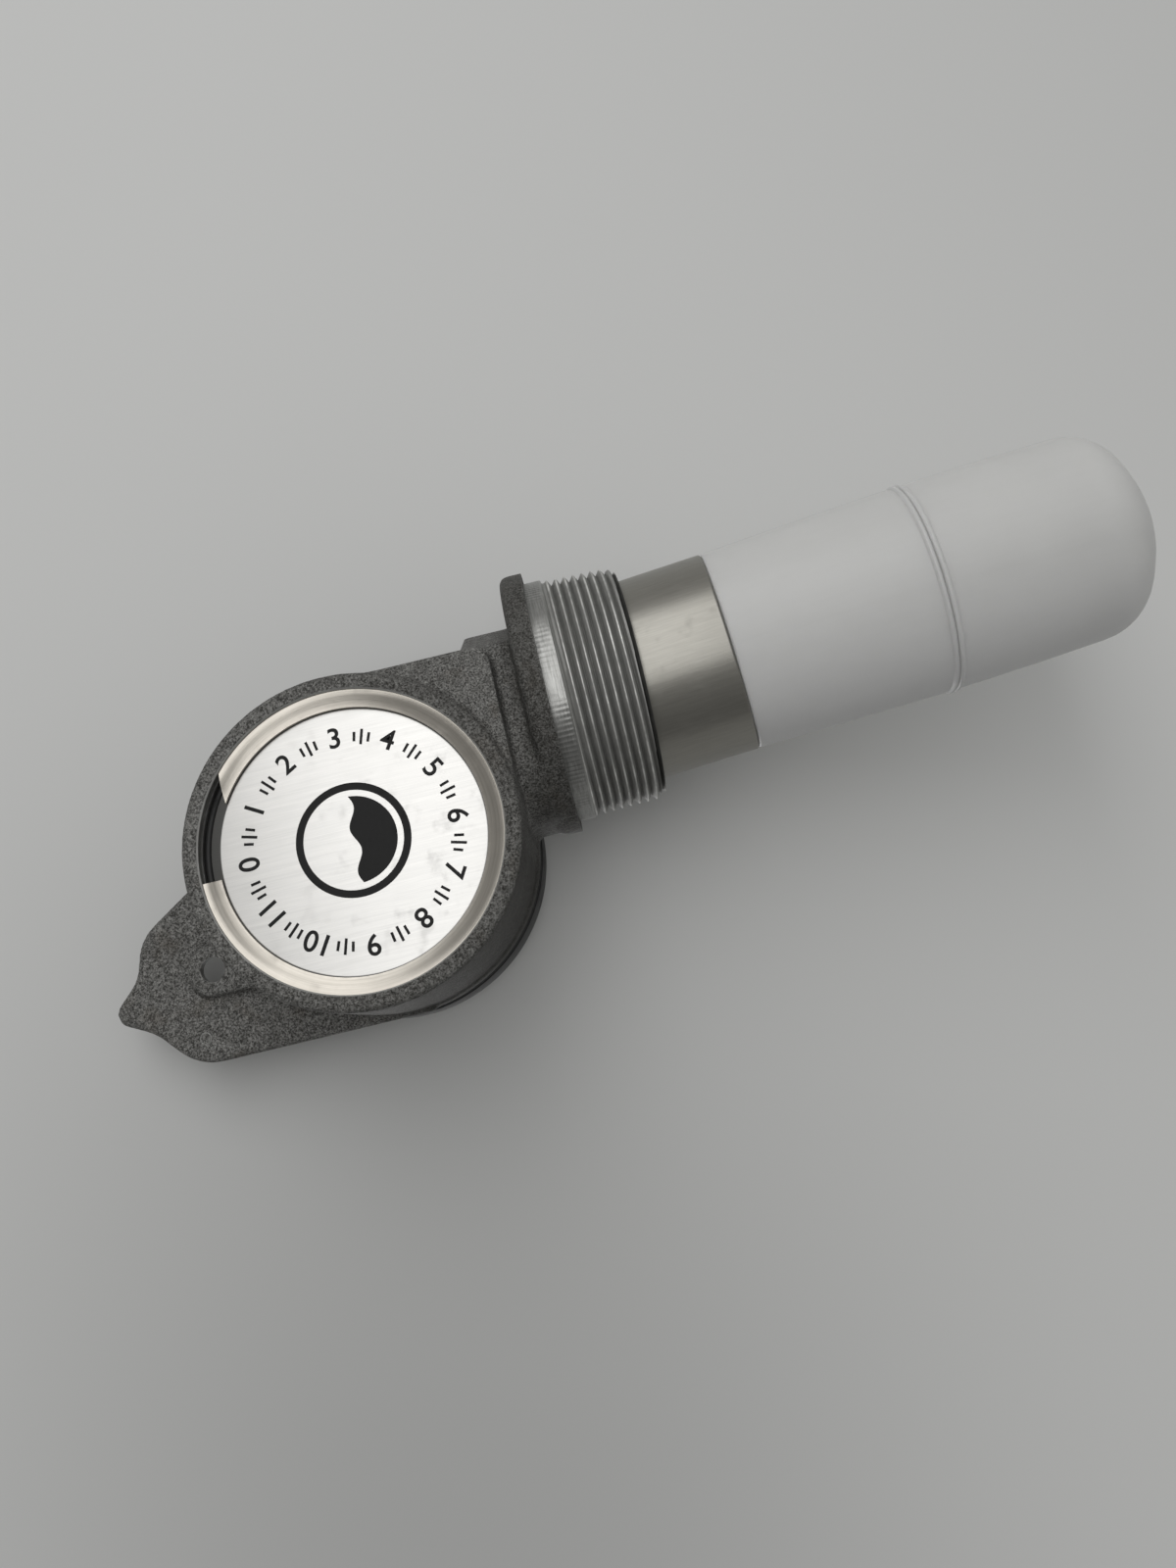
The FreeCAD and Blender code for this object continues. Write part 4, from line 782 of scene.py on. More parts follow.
ear = cut_out("raw_ear", [(-39.0, -5.0), (-39.0, HOLE.y + 7.8, 13), (HOLE.x - 11.8, HOLE.y + 17.2, 12),
                          (HOLE.x - 7.9, HOLE.y + 25.0, 2.8), (HOLE.x - 4.5, HOLE.y + 26.0, 2.8),
                          (HOLE.x + 2.1, HOLE.y + 19.6, 9), (HOLE.x + 11.9, HOLE.y + 17.4, 11),
                          (HOLE.x + 31.1, HOLE.y - 11.6), (0, 0)], EAR_FRONT, EAR_FRONT + EAR_THICKNESS, axis)
moat = cut_out("moat", pad_outline(MOAT_REACH), EAR_FRONT - 1, EAR_FRONT + MOAT_DEPTH, axis)
recess_circle = [(HOLE.x + RECESS_RADIUS * math.cos(turn * math.tau / RECESS_STEPS),
                  HOLE.y + RECESS_RADIUS * math.sin(turn * math.tau / RECESS_STEPS))
                 for turn in range(RECESS_STEPS)]
recess = cut_out("recess", recess_circle, EAR_FRONT - PAD_HEIGHT + HOLE_WALL, EAR_FRONT + 9, axis)
pad = cut_out("raw_pad", pad_outline(PAD_REACH), EAR_FRONT - PAD_HEIGHT, EAR_FRONT + 1.5, axis)
ear = combine(ear, moat, "DIFFERENCE")
ear = combine(combine(ear, pad, "UNION"), recess, "DIFFERENCE")
report("ear:", ear)

# %% [markdown]
# The body is one aluminium casting. Its raw form is a handful of simple solids that run into each
# other: the ear, the round housing, the flat web below it, the neck block and the flange. A real
# casting has no crisp inner corner, so the solids are melted together by a voxel remesh, and a few
# rounds of smoothing draw soft fillets wherever two of them meet.

# %% Raw casting
WEB_FRONT = RIM_FRONT + 2.0
WEB_SIDE = RIM_RADIUS + HOUSING.x - 0.8
WEB_LOW = 11.0
NECK_FRONT = RIM_FRONT + 6.0
NECK_LEFT = -31.5
NECK_RIGHT = 21.5
NECK_LOW = 2.8
NECK_HEIGHT = 15.2
BACK_STEP = 0.5
VOXEL = 0.62
SOFTENING = 9

housing = turned_on_housing("raw_housing", [
    (0, RIM_FRONT), (RIM_RADIUS, RIM_FRONT, 0.7), (RIM_RADIUS, EAR_FRONT),
    (RIM_RADIUS + BACK_STEP, EAR_FRONT), (RIM_RADIUS + BACK_STEP, CASTING_BACK), (0, CASTING_BACK)])
web = cut_out("raw_web", [(HOUSING.x, WEB_LOW), (WEB_SIDE, WEB_LOW, 4.0), (WEB_SIDE, HOUSING.z),
                          (HOUSING.x, HOUSING.z)], WEB_FRONT, CASTING_BACK)
flange = turned("raw_flange", [(0, -4), (FLANGE_RADIUS, -4), (FLANGE_RADIUS, FLANGE_THICKNESS, 2.0),
                               (0, FLANGE_THICKNESS)])
neck_block = ring_of_corners("raw_neck", rounded([
    (NECK_LEFT, NECK_FRONT, 17.0), (9.5, NECK_FRONT, 1.6), (NECK_RIGHT, -2.0, 8.5),
    (NECK_RIGHT, CASTING_BACK), (NECK_LEFT, CASTING_BACK)]), "NGON")
push(neck_block, -NECK_HEIGHT)
settle(neck_block, Matrix.Translation((0, 0, NECK_LOW * MM)) @ TIPPED)
tidy_mesh(neck_block)

casting = join([ear, housing, web, flange, neck_block], "cast_body")
melt = casting.modifiers.new("melt", "REMESH")
melt.mode = "VOXEL"
melt.voxel_size = VOXEL * MM
apply(casting, melt)
soften = casting.modifiers.new("soften", "SMOOTH")
soften.factor = 0.5
soften.iterations = SOFTENING
apply(casting, soften)
edit(casting)
bpy.ops.mesh.bisect(plane_co=(0, 0, 0), plane_no=(0, 0, -1), use_fill=True, clear_outer=True)
leave()
dress(casting, cast_skin)
report("raw casting:", casting)

# %% [markdown]
# The thread is a true helix, right-handed as on any standard pipe. One pitch of its outline is drawn
# as an open line and swept by a Screw modifier, which steps one pitch in each turn, so that the turns
# share their edges and merge. The ends are cut flat by a bisect that also closes them. A pipe thread
# is tapered, and it runs out shallow next to the plain band, so each vertex is then moved in or out
# by its height.

# %% Threaded nipple
DEPTH = 1.6
TURNS = 10
TURN_STEPS = 180
RUN_OUT = 1.3
RUN_OUT_DEPTH = 0.25
END_CHAMFER = 0.9

outline = [(CREST - DEPTH, 0), (CREST - DEPTH * 0.5, -0.25), (CREST - 0.05, -0.475), (CREST, -0.5),
           (CREST, -0.56), (CREST - 0.05, -0.585), (CREST - DEPTH * 0.5, -0.79), (CREST - DEPTH, -0.97)]
thread = ring_of_corners("thread", [(radius, height * PITCH) for radius, height in outline] + [
    (CREST - DEPTH, -PITCH)])
edit(thread)
bpy.ops.mesh.select_mode(type="EDGE")
bpy.ops.mesh.select_all(action="DESELECT")
leave()
for edge in thread.data.edges:
    heights = [thread.data.vertices[index].co.z for index in edge.vertices]
    edge.select = abs(heights[0] - heights[1]) > PITCH * 0.9 * MM
bpy.ops.object.mode_set(mode="EDIT")
bpy.ops.mesh.delete(type="EDGE")
bpy.ops.mesh.select_mode(type="VERT")
leave()
sweep = thread.modifiers.new("sweep", "SCREW")
sweep.axis = "Z"
sweep.angle = -math.tau
sweep.screw_offset = -PITCH * MM
sweep.iterations = TURNS
sweep.steps = TURN_STEPS
sweep.render_steps = TURN_STEPS
apply(thread, sweep)
tidy_mesh(thread)
for place, direction in ((-PILOT_LENGTH + 0.2, 1), (-NIPPLE_LENGTH, -1)):
    edit(thread)
    bpy.ops.mesh.bisect(plane_co=(0, 0, place * MM), plane_no=(0, 0, direction), use_fill=True,
                        clear_outer=True)
    leave()
for vertex in thread.data.vertices:
    height = vertex.co.z / MM
    radius = vertex.co.xy.length / MM
    depth = CREST - radius
    fade = min(1, max(0, (-PILOT_LENGTH - height) / RUN_OUT))
    kept = RUN_OUT_DEPTH + (1 - RUN_OUT_DEPTH) * fade
    chamfer = max(0, END_CHAMFER - (height + NIPPLE_LENGTH)) * 0.9
    crest = CREST + height * TAPER
    vertex.co.xy *= min(crest - depth * kept, crest - chamfer) / radius
tidy_mesh(thread, smooth=40)
dress(thread, cut_thread)
report("thread:", thread)

# %% [markdown]
# Above the thread the nipple is a plain turned band. It is a separate solid only until a boolean
# adds it to the thread, and both to the casting, where each keeps its own finish.

# %% Plain band
BAND_CHAMFER = 0.3
BAND_TOP = 1.2
band = turned("band", [(0, -PILOT_LENGTH), (PILOT_RADIUS - BAND_CHAMFER, -PILOT_LENGTH),
                       (PILOT_RADIUS, -PILOT_LENGTH + BAND_CHAMFER), (PILOT_RADIUS, BAND_TOP),
                       (0, BAND_TOP)], TURN_STEPS)
dress(band, cut_aluminium)
nipple = combine(thread, band, "UNION")
casting = combine(casting, nipple, "UNION")
report("with its nipple:", casting)

# %% [markdown]
# What a lathe and a drill take out of the casting is modelled as solids of air. They carry the cut
# metal's finish, and the boolean hands that finish to every face that they leave behind.

# %% Machining
COVER_SEAT = RIM_FRONT + 7.6
PLATE_SEAT = CASTING_BACK - 2.0
SEAT_RADIUS = COVER_BORE - 1.1
GROOVE_RADIUS = COVER_BORE + 1.2
MOUTH_CHAMFER = 0.5
NECK_FLOOR = 2.5
EAR_HOLE_RADIUS = 3.05
MARK = Vector((-32.8, 51.0))
MARK_INNER = 1.2
MARK_OUTER = 1.5
MARK_FLOOR = EAR_FRONT + 0.16
SCREW_CIRCLE = COVER_BORE + 2.1
SCREW_HOLE = 1.25
air = [
    turned_on_housing("air_bore", [
        (0, RIM_FRONT - 1), (COVER_BORE + 1.3, RIM_FRONT - 1), (COVER_BORE, RIM_FRONT + 0.3),
        (COVER_BORE, RING_FRONT), (GROOVE_RADIUS, RING_FRONT), (GROOVE_RADIUS, RING_BACK),
        (COVER_BORE, RING_BACK), (COVER_BORE, COVER_SEAT), (SEAT_RADIUS, COVER_SEAT),
        (SEAT_RADIUS, PLATE_SEAT), (COVER_BORE, PLATE_SEAT), (COVER_BORE, CASTING_BACK + 1),
        (0, CASTING_BACK + 1)]),
    turned("air_neck", [(0, -NIPPLE_LENGTH - 1), (NECK_BORE + MOUTH_CHAMFER + 1, -NIPPLE_LENGTH - 1),
                        (NECK_BORE, -NIPPLE_LENGTH + MOUTH_CHAMFER), (NECK_BORE, NECK_FLOOR),
                        (0, NECK_FLOOR)]),
    cut_out("air_channel", [(-16, 2.0), (8, 2.0), (8, 48.8), (-16, 48.8)], -8, 5)]


def along_housing(x, z):
    """A place on the housing's face, with Z along the housing's axis."""
    return Matrix.Translation(Vector((HOUSING.x + x, 0, HOUSING.z + z)) * MM) @ TIPPED


air.append(settle(turned("air_ear", [(0, -6), (EAR_HOLE_RADIUS, -6), (EAR_HOLE_RADIUS, 12), (0, 12)],
                         steps=64), along_housing(*HOLE)))
mark = turned("air_mark", [(MARK_INNER, EAR_FRONT - 1), (MARK_OUTER, EAR_FRONT - 1),
                           (MARK_OUTER, MARK_FLOOR), (MARK_INNER, MARK_FLOOR)], steps=40)
air.append(settle(mark, along_housing(*MARK)))
screw_places = [ON_HOUSING @ (Matrix.Rotation(math.radians(45 + 90 * index), 4, "Z")
                              @ Matrix.Translation((SCREW_CIRCLE * MM, 0, 0))) for index in range(4)]
for place in screw_places:
    drilling = turned("air_screw", [(0, CASTING_BACK - 6), (SCREW_HOLE, CASTING_BACK - 6),
                                    (SCREW_HOLE, CASTING_BACK + 1), (0, CASTING_BACK + 1)], steps=24)
    air.append(settle(drilling, place))
cutter = dress(air[0], cut_cover)
for piece in air[1:]:
    cutter = combine(cutter, dress(piece, cut_aluminium), "UNION")
casting = combine(casting, cutter, "DIFFERENCE")
tidy_mesh(casting, smooth=32)
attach(casting, "housing")
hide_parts("gauge_body")
report("machined casting:", casting)

# %% [markdown]
# Other finishes come in families. Metals differ in their two tones and in which way their fine
# lines run; plastics and rubber in their colour and gloss. One function serves each family, and a
# pattern that has to follow a tilted piece is turned with it by a Mapping node. The float is such a
# piece: it leans in the neck, as far as the play between sleeve and bore lets it.

# %% Families of finishes
LEAN = math.atan(1.65 / 14)
LEAN_HEADING = math.radians(-66.9)
MOUTH_OFFSET = 0.5
FLOAT_PLACE = Vector((MOUTH_OFFSET * math.cos(LEAN_HEADING), MOUTH_OFFSET * math.sin(LEAN_HEADING),
                      -NIPPLE_LENGTH)) * MM
ON_FLOAT = (Matrix.Translation(FLOAT_PLACE) @ Matrix.Rotation(LEAN_HEADING, 4, "Z")
            @ Matrix.Rotation(LEAN, 4, Vector((0, -1, 0))))


def seen_from(wire, here, place):
    """Object coordinates as a piece's own axes see them."""
    back = place.inverted()
    return wire.mapped(here, Location=back.to_translation(), Rotation=back.to_euler())


def rings_about(wire, here, place):
    """A vector that only changes with the distance from a piece's axis and, slowly, round it."""
    own = wire.parts(seen_from(wire, here, place))
    node = wire.add("CombineXYZ")
    wire.feed(node.inputs[0], wire.radius(own))
    wire.feed(node.inputs[1], wire.times(wire.calc("ARCTAN2", own["X"], own["Y"]), 0.0004))
    wire.feed(node.inputs[2], wire.times(own["Z"], 0.5))
    return node.outputs[0]


def metal(name, light, dark, roughness=0.35, lines=(1, 1, 1), count=1500.0, depth=0.00004, place=None,
          metallic=1.0, turned_face=False, drift=0.3, wear=0.4):
    """A metal in two tones with fine lines, slow stains and lighter edges."""
    material, wire, skin, here = finish(name, metallic, roughness)
    own = seen_from(wire, here, place) if place else here
    vector = rings_about(wire, here, place) if turned_face else wire.mapped(own, Scale=lines)
    line = use(wire, "fine_lines", vector, Count=count)
    stain = use(wire, "stains", here, Size=90.0, Contrast=0.6)
    colour = wire.blend(line["Tone"], dark, light)
    colour = wire.blend(wire.times(stain["Drift"], drift), colour, scaled(dark, 0.8))
    rubbed = use(wire, "rubbed_edge", here)
    colour = wire.blend(wire.times(rubbed["Mask"], wear), colour, scaled(light, 1.25))
    wire.feed(skin["Base Color"], colour)
    wire.feed(skin["Roughness"], wire.ramp(stain["Blotch"], 0.0, 1.0, roughness, roughness * 1.25))
    wire.feed(skin["Normal"], wire.bump(line["Height"], depth, strength=0.6))
    return material


def plastic(name, colour, roughness=0.45, grain=1400.0, depth=0.00003, drift=0.25, **sockets):
    """A moulded or painted surface: one colour that drifts a little, and a fine skin."""
    material, wire, skin, here = finish(name, roughness=roughness, **sockets)
    grains = use(wire, "cast_grain", here, Grain=grain, Pits=0.1)
    stain = use(wire, "stains", here, Size=70.0, Contrast=0.6)
    shade = wire.blend(wire.times(stain["Drift"], drift), colour, scaled(colour, 0.75))
    shade = wire.blend(wire.times(grains["Tone"], 0.12), shade, scaled(colour, 1.3, 0.01))
    wire.feed(skin["Base Color"], shade)
    wire.feed(skin["Roughness"], wire.ramp(stain["Blotch"], 0.0, 1.0, roughness, roughness * 1.3))
    wire.feed(skin["Normal"], wire.bump(grains["Height"], depth, strength=0.4))
    return material


print("the float leans", round(math.degrees(LEAN), 1), "degrees")

# %% [markdown]
# The label is a brushed aluminium disc. Its lines run along the neck's axis, so the lamp's
# reflection spreads across them and one side of the disc glows. A thin line of painted shade lies at
# its edge, where it meets the ring. That line is blended over the finished metal's colour.

# %% Label plate
LABEL_THICKNESS = 0.5
GAP_SHADE_LINE = (0.02985, 0.03010)
GAP_SHADE_STRENGTH = 0.92
GAP_SHADE_COLOUR = (0.02, 0.02, 0.018)
label = turned_on_housing("brushed_label", [(0, LABEL_FRONT), (LABEL_RADIUS, LABEL_FRONT, 0.15),
                                            (LABEL_RADIUS, LABEL_FRONT + LABEL_THICKNESS),
                                            (0, LABEL_FRONT + LABEL_THICKNESS)])
label_brushed = metal("label_brushed", light=(0.67, 0.66, 0.64), dark=(0.555, 0.55, 0.535), roughness=0.36,
                      lines=(1.0, 1.0, 0.02), count=2200.0, depth=0.000025, metallic=0.82, drift=0.08,
                      wear=0.0)
wire = Wiring(label_brushed.node_tree)
colour = label_brushed.node_tree.nodes["Principled BSDF"].inputs["Base Color"]
own = wire.parts(seen_from(wire, wire.add("TexCoord").outputs["Object"], ON_HOUSING))
# Painted shade: a thin dark line at the label's edge, under the ring's inner edge.
gap_shade = wire.ramp(wire.radius(own), *GAP_SHADE_LINE, 0.0, GAP_SHADE_STRENGTH)
wire.feed(colour, wire.blend(gap_shade, colour.links[0].from_socket, GAP_SHADE_COLOUR))
dress(label, label_brushed)
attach(label, "housing")
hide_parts("label_plate")
report("label:", label)

# %% [markdown]
# Print is a set of thin shapes that stand three hundredths of a millimetre above what they are on.
# Figures come from Blender's own font, made a mesh before they are placed; bars are pushed out of a
# rectangle. A face of the housing has a frame of its own, in which places are read as on a clock.

# %% Flat print
INK = 0.03


def flat_text(words, size, place, boldness=0.0):
    """Plain figures as a thin mesh, made where they were added and then put in their place."""
    bpy.ops.object.text_add()
    piece = bpy.context.object
    piece.data.body = words
    piece.data.align_x = "CENTER"
    piece.data.align_y = "CENTER"
    piece.data.size = size * MM
    piece.data.extrude = INK / 2 * MM
    piece.data.offset = boldness * MM
    bpy.ops.object.convert(target="MESH")
    return settle(bpy.context.object, place)


def flat_bar(width, length, place):
    """A printed bar across a radius."""
    piece = ring_of_corners("bar", [(-width / 2, -length / 2), (width / 2, -length / 2),
                                    (width / 2, length / 2), (-width / 2, length / 2)], "NGON")
    push(piece, -INK)
    tidy_mesh(piece)
    return settle(piece, place @ Matrix.Translation((0, 0, INK / 2 * MM)) @ TIPPED)


def on_face(depth, facing):
    """A frame lying on a face of the housing: X to the reader's right, Y up, Z towards the reader."""
    turn = Matrix.Rotation(math.radians(90), 4, "X")
    if facing > 0:
        turn = Matrix.Rotation(math.radians(180), 4, "Z") @ turn
    return Matrix.Translation(Vector((HOUSING.x, depth, HOUSING.z)) * MM) @ turn


def at_clock(face, radius, degrees, upright=False):
    """A place on a face, clockwise from the top as its reader sees it."""
    turn = Matrix.Rotation(-math.radians(degrees), 4, "Z")
    place = face @ turn @ Matrix.Translation((0, radius * MM, 0))
    return place @ turn.inverted() if upright else place


label_face = on_face(LABEL_FRONT, -1)
dial_face = on_face(DIAL_BACK, 1)
print("label faces along", tuple(round(c) for c in label_face.to_3x3().col[2]))

# %% [markdown]
# The label's print is generic: a ring of plain numbers with three bars between two of them, and in
# the middle a round tank that is half full, its level drawn as one wave.

# %% Print on the label
SIGN_OUTER = 13.0
SIGN_INNER = 11.3
SIGN_FILL = 9.9
SIGN_STEPS = 60
WAVE_LEVEL = -0.5
WAVE_HEIGHT = 0.9
ARC_START = -4
ARC_SPAN = 172
NUMBER_RADIUS = 23.6
NUMBER_SIZE = 6.6
NUMBER_BOLDNESS = 0.10
BAR_WIDTH = 0.62
BARS = ((11, 2.2), (15, 3.6), (19, 2.2))

sign_ring = turned("sign_ring", [(SIGN_INNER, 0), (SIGN_OUTER, 0), (SIGN_OUTER, INK), (SIGN_INNER, INK)],
                   steps=96)
settle(sign_ring, label_face)
wave_x = [SIGN_FILL * (step / (SIGN_STEPS / 2) - 1) for step in range(SIGN_STEPS + 1)]
wave = [(x, WAVE_LEVEL + WAVE_HEIGHT * math.sin(x / SIGN_FILL * math.tau)) for x in wave_x]
angles = [math.radians(ARC_START - ARC_SPAN * step / SIGN_STEPS) for step in range(SIGN_STEPS + 1)]
lower_arc = [(SIGN_FILL * math.cos(angle), SIGN_FILL * math.sin(angle)) for angle in angles]
sign_fill = ring_of_corners("sign_fill", wave + lower_arc, "NGON")
push(sign_fill, -INK)
tidy_mesh(sign_fill)
settle(sign_fill, label_face @ TIPPED)
marks = [sign_ring, sign_fill]
for index in range(12):
    number_place = at_clock(label_face, NUMBER_RADIUS, 30 * index)
    marks.append(flat_text(str(index), NUMBER_SIZE, number_place, NUMBER_BOLDNESS))
    for degrees, length in BARS:
        marks.append(flat_bar(BAR_WIDTH, length, at_clock(label_face, NUMBER_RADIUS, 30 * index + degrees)))
label_print = join(marks, "label_print")
ink_black = plastic("ink_black", (0.010, 0.010, 0.010), roughness=0.55, drift=0.1, Specular_IOR_Level=0.2)
dress(label_print, ink_black)
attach(label_print, "housing")
report("print on the label:", label_print)

# %% [markdown]
# The snap ring is a stainless wire of a hollow-cheeked section, sprung into a groove of the rim. It
# is open over about forty degrees: one end is cut square, the other on a slant. Its section is spun
# short of a full turn, its ends are closed, and the slanted end is sheared along the ring by moving
# its vertices round the axis, less and less away from the end.

# %% Snap ring
GAP_SQUARE = 94.0
GAP_SLANTED = 56.0
SLANT_INNER = 5.0
SLANT_REACH = 12.0
RING_INNER = 30.25
RING_STEPS = 200
RING_PLAY = 1.05
ring_section = [(RING_INNER, RING_BACK), (30.3, RING_BACK - 0.9), (31.1, RING_BACK - 1.12),
                (32.0, RING_BACK - 1.45), (32.8, RING_BACK - 1.78), (33.5, RING_BACK - 2.02),
                (34.2, RING_FRONT + 0.05), (34.6, RING_FRONT), (COVER_BORE + RING_PLAY, RING_FRONT),
                (COVER_BORE + RING_PLAY, RING_BACK)]
ring = ring_of_corners("snap_ring", ring_section)
settle(ring, Matrix.Rotation(math.radians(-GAP_SLANTED), 4, "Z"))
edit(ring)
bpy.ops.mesh.spin(steps=RING_STEPS, angle=-math.radians(360 - GAP_SQUARE + GAP_SLANTED), center=(0, 0, 0),
                  axis=(0, 0, 1))
bpy.ops.mesh.select_all(action="SELECT")
bpy.ops.mesh.fill_holes(sides=0)
leave()
for vertex in ring.data.vertices:
    angle = math.degrees(math.atan2(vertex.co.y, vertex.co.x))
    radius = vertex.co.xy.length / MM
    near = 1 - (angle + GAP_SLANTED) / SLANT_REACH
    if 0 < near <= 1.001:
        slant = (2 * (radius - RING_INNER) / (COVER_BORE - RING_INNER) - 1) * SLANT_INNER
        vertex.co = Matrix.Rotation(math.radians(slant * near), 4, "Z") @ vertex.co
settle(tidy_mesh(ring, smooth=40), ON_HOUSING)
dress(ring, metal("ring_steel", light=(0.52, 0.488, 0.44), dark=(0.33, 0.31, 0.275), roughness=0.28,
                  count=2400.0, depth=0.00002, place=ON_HOUSING, turned_face=True, drift=0.35))
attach(ring, "housing")
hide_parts("retaining_ring")
report("snap ring:", ring)

# %% [markdown]
# The sleeve is a short length of drawn stainless tube. It gives the float its weight and its guide
# in the neck. The tube is spun upright and then tilted with the float's own matrix, which the
# shells of the float share.

# %% Steel sleeve
SLEEVE_RADIUS = 25.0
SLEEVE_BELOW = 24.5
SLEEVE_ENGAGED = 14.0
SLEEVE_WALL = 1.5
SLEEVE_EDGE = 0.45
sleeve = turned("steel_sleeve", [
    (SLEEVE_RADIUS - SLEEVE_WALL, -SLEEVE_BELOW), (SLEEVE_RADIUS, -SLEEVE_BELOW, SLEEVE_EDGE),
    (SLEEVE_RADIUS, SLEEVE_ENGAGED, SLEEVE_EDGE), (SLEEVE_RADIUS - SLEEVE_WALL, SLEEVE_ENGAGED)], steps=256)
settle(sleeve, ON_FLOAT)
dress(sleeve, metal("sleeve_steel", light=(0.32, 0.311, 0.281), dark=(0.26, 0.252, 0.229), roughness=0.34,
                    lines=(1.0, 1.0, 0.05), count=1500.0, depth=0.00002, place=ON_FLOAT, metallic=0.92,
                    drift=0.12, wear=0.3))
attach(sleeve, "float")
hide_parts("ballast_sleeve")
report("steel sleeve:", sleeve)

# %% [markdown]
# The float is two blown shells of milky plastic, welded at a ridge. They are modelled as walls two
# millimetres thick, open to each other inside, with a bead on each side of the weld.

# %% Float shells
WALL = 2.0
CAP_TOP = 9.8
SPIGOT = SLEEVE_RADIUS - 1.55
SHOULDER = 24.9
SHOULDER_TOP = -SLEEVE_BELOW - 0.15
WELD_RADIUS = 25.6
WELD_FLAT = WELD_RADIUS + 0.12
WELD_AT = -73.5
BEAD = WELD_RADIUS + 0.5
END_RADIUS = 24.6
END_TURN = 9.85
END_AT = -126.3
upper_shell = turned("float_upper", [
    (SPIGOT - WALL, CAP_TOP - WALL), (2.0, CAP_TOP - WALL), (2.0, CAP_TOP), (SPIGOT, CAP_TOP, 1.0),
    (SPIGOT, SHOULDER_TOP), (SHOULDER, SHOULDER_TOP, 0.7), (SHOULDER + 0.3, -40), (WELD_RADIUS - 0.1, -60),
    (WELD_RADIUS, WELD_AT + 1.5), (BEAD, WELD_AT + 0.95, 0.25), (BEAD, WELD_AT + 0.35, 0.2),
    (WELD_FLAT, WELD_AT + 0.05), (WELD_FLAT, WELD_AT), (WELD_RADIUS - WALL, WELD_AT),
    (SHOULDER - WALL, -SLEEVE_BELOW - WALL), (SPIGOT - WALL, -SLEEVE_BELOW + WALL)], steps=256)
lower_shell = turned("float_lower", [
    (WELD_RADIUS - WALL, WELD_AT), (WELD_FLAT, WELD_AT), (WELD_FLAT, WELD_AT - 0.05),
    (BEAD, WELD_AT - 0.35, 0.2), (BEAD, WELD_AT - 0.9, 0.25), (WELD_RADIUS, WELD_AT - 1.5),
    (WELD_RADIUS - 0.25, -95), (END_RADIUS, END_AT + 7.8, 12.5), (END_TURN, END_AT, 20.0), (0, END_AT),
    (0, END_AT + WALL), (END_TURN - 0.5, END_AT + WALL, 18.0),
    (END_RADIUS - WALL, END_AT + 7.8 + WALL * 0.6, 10.5)], steps=256)
report("float shells:", upper_shell, lower_shell)

# %% [markdown]
# Light sinks into milky plastic and comes out next to where it went in, so the material scatters it
# below the surface. Faint streaks run along the float, with a few dark specks. The float's low side
# glows in the photograph, where light from the table comes through the wall, and a slightly lighter
# colour stands in for that.

# %% Milky finish
MILK = (0.66, 0.66, 0.645)
GLOW_SPAN = (-0.028, -0.004)
GLOW = 1.35
SPECK_COLOUR = (0.2, 0.2, 0.19)


def milky(name, colour):
    material, wire, skin, here = finish(name, roughness=0.42, Subsurface_Weight=0.85,
                                        Subsurface_Scale=0.006, Subsurface_Radius=(1.0, 1.0, 0.95), IOR=1.5,
                                        Specular_IOR_Level=0.4)
    own = seen_from(wire, here, ON_FLOAT)
    streak = use(wire, "fine_lines", wire.mapped(own, Scale=(1.0, 1.0, 0.04)), Count=420.0)
    stain = use(wire, "stains", own, Size=38.0, Contrast=0.5)
    grains = use(wire, "cast_grain", here, Grain=900.0, Pits=0.0)
    shade = wire.blend(wire.times(streak["Tone"], 0.4), colour, scaled(colour, 0.93))
    shade = wire.blend(wire.times(stain["Drift"], 0.5), shade, scaled(colour, 0.92))
    shade = wire.blend(wire.ramp(wire.parts(here)["X"], *GLOW_SPAN, 1.0, 0.0), shade, scaled(colour, GLOW))
    specks = wire.ramp(wire.cells(own, 95.0), 0.012, 0.03, 1.0, 0.0)
    rare = wire.ramp(wire.noise(own, 31.0), 0.62, 0.66)
    shade = wire.blend(wire.times(wire.times(specks, rare), 0.5), shade, SPECK_COLOUR)
    wire.feed(skin["Base Color"], shade)
    wire.feed(skin["Roughness"], wire.ramp(stain["Blotch"], 0.0, 1.0, 0.38, 0.5))
    height = wire.plus(wire.times(streak["Height"], 0.6), wire.times(grains["Height"], 0.5))
    wire.feed(skin["Normal"], wire.bump(height, distance=0.00006, strength=0.5))
    return material


float_milk = milky("float_milk", MILK)
for shell, node in ((upper_shell, "upper_float"), (lower_shell, "lower_float")):
    settle(shell, ON_FLOAT)
    dress(shell, float_milk)
    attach(shell, "float")
    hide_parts(node)
print("the float reaches down to", round(low("lower_float").z, 1), "mm")

# %% [markdown]
# The cable's free run hangs from the drum to the float's eye. It has to grow as the float drops, so
# it is a thin tube with many rings.

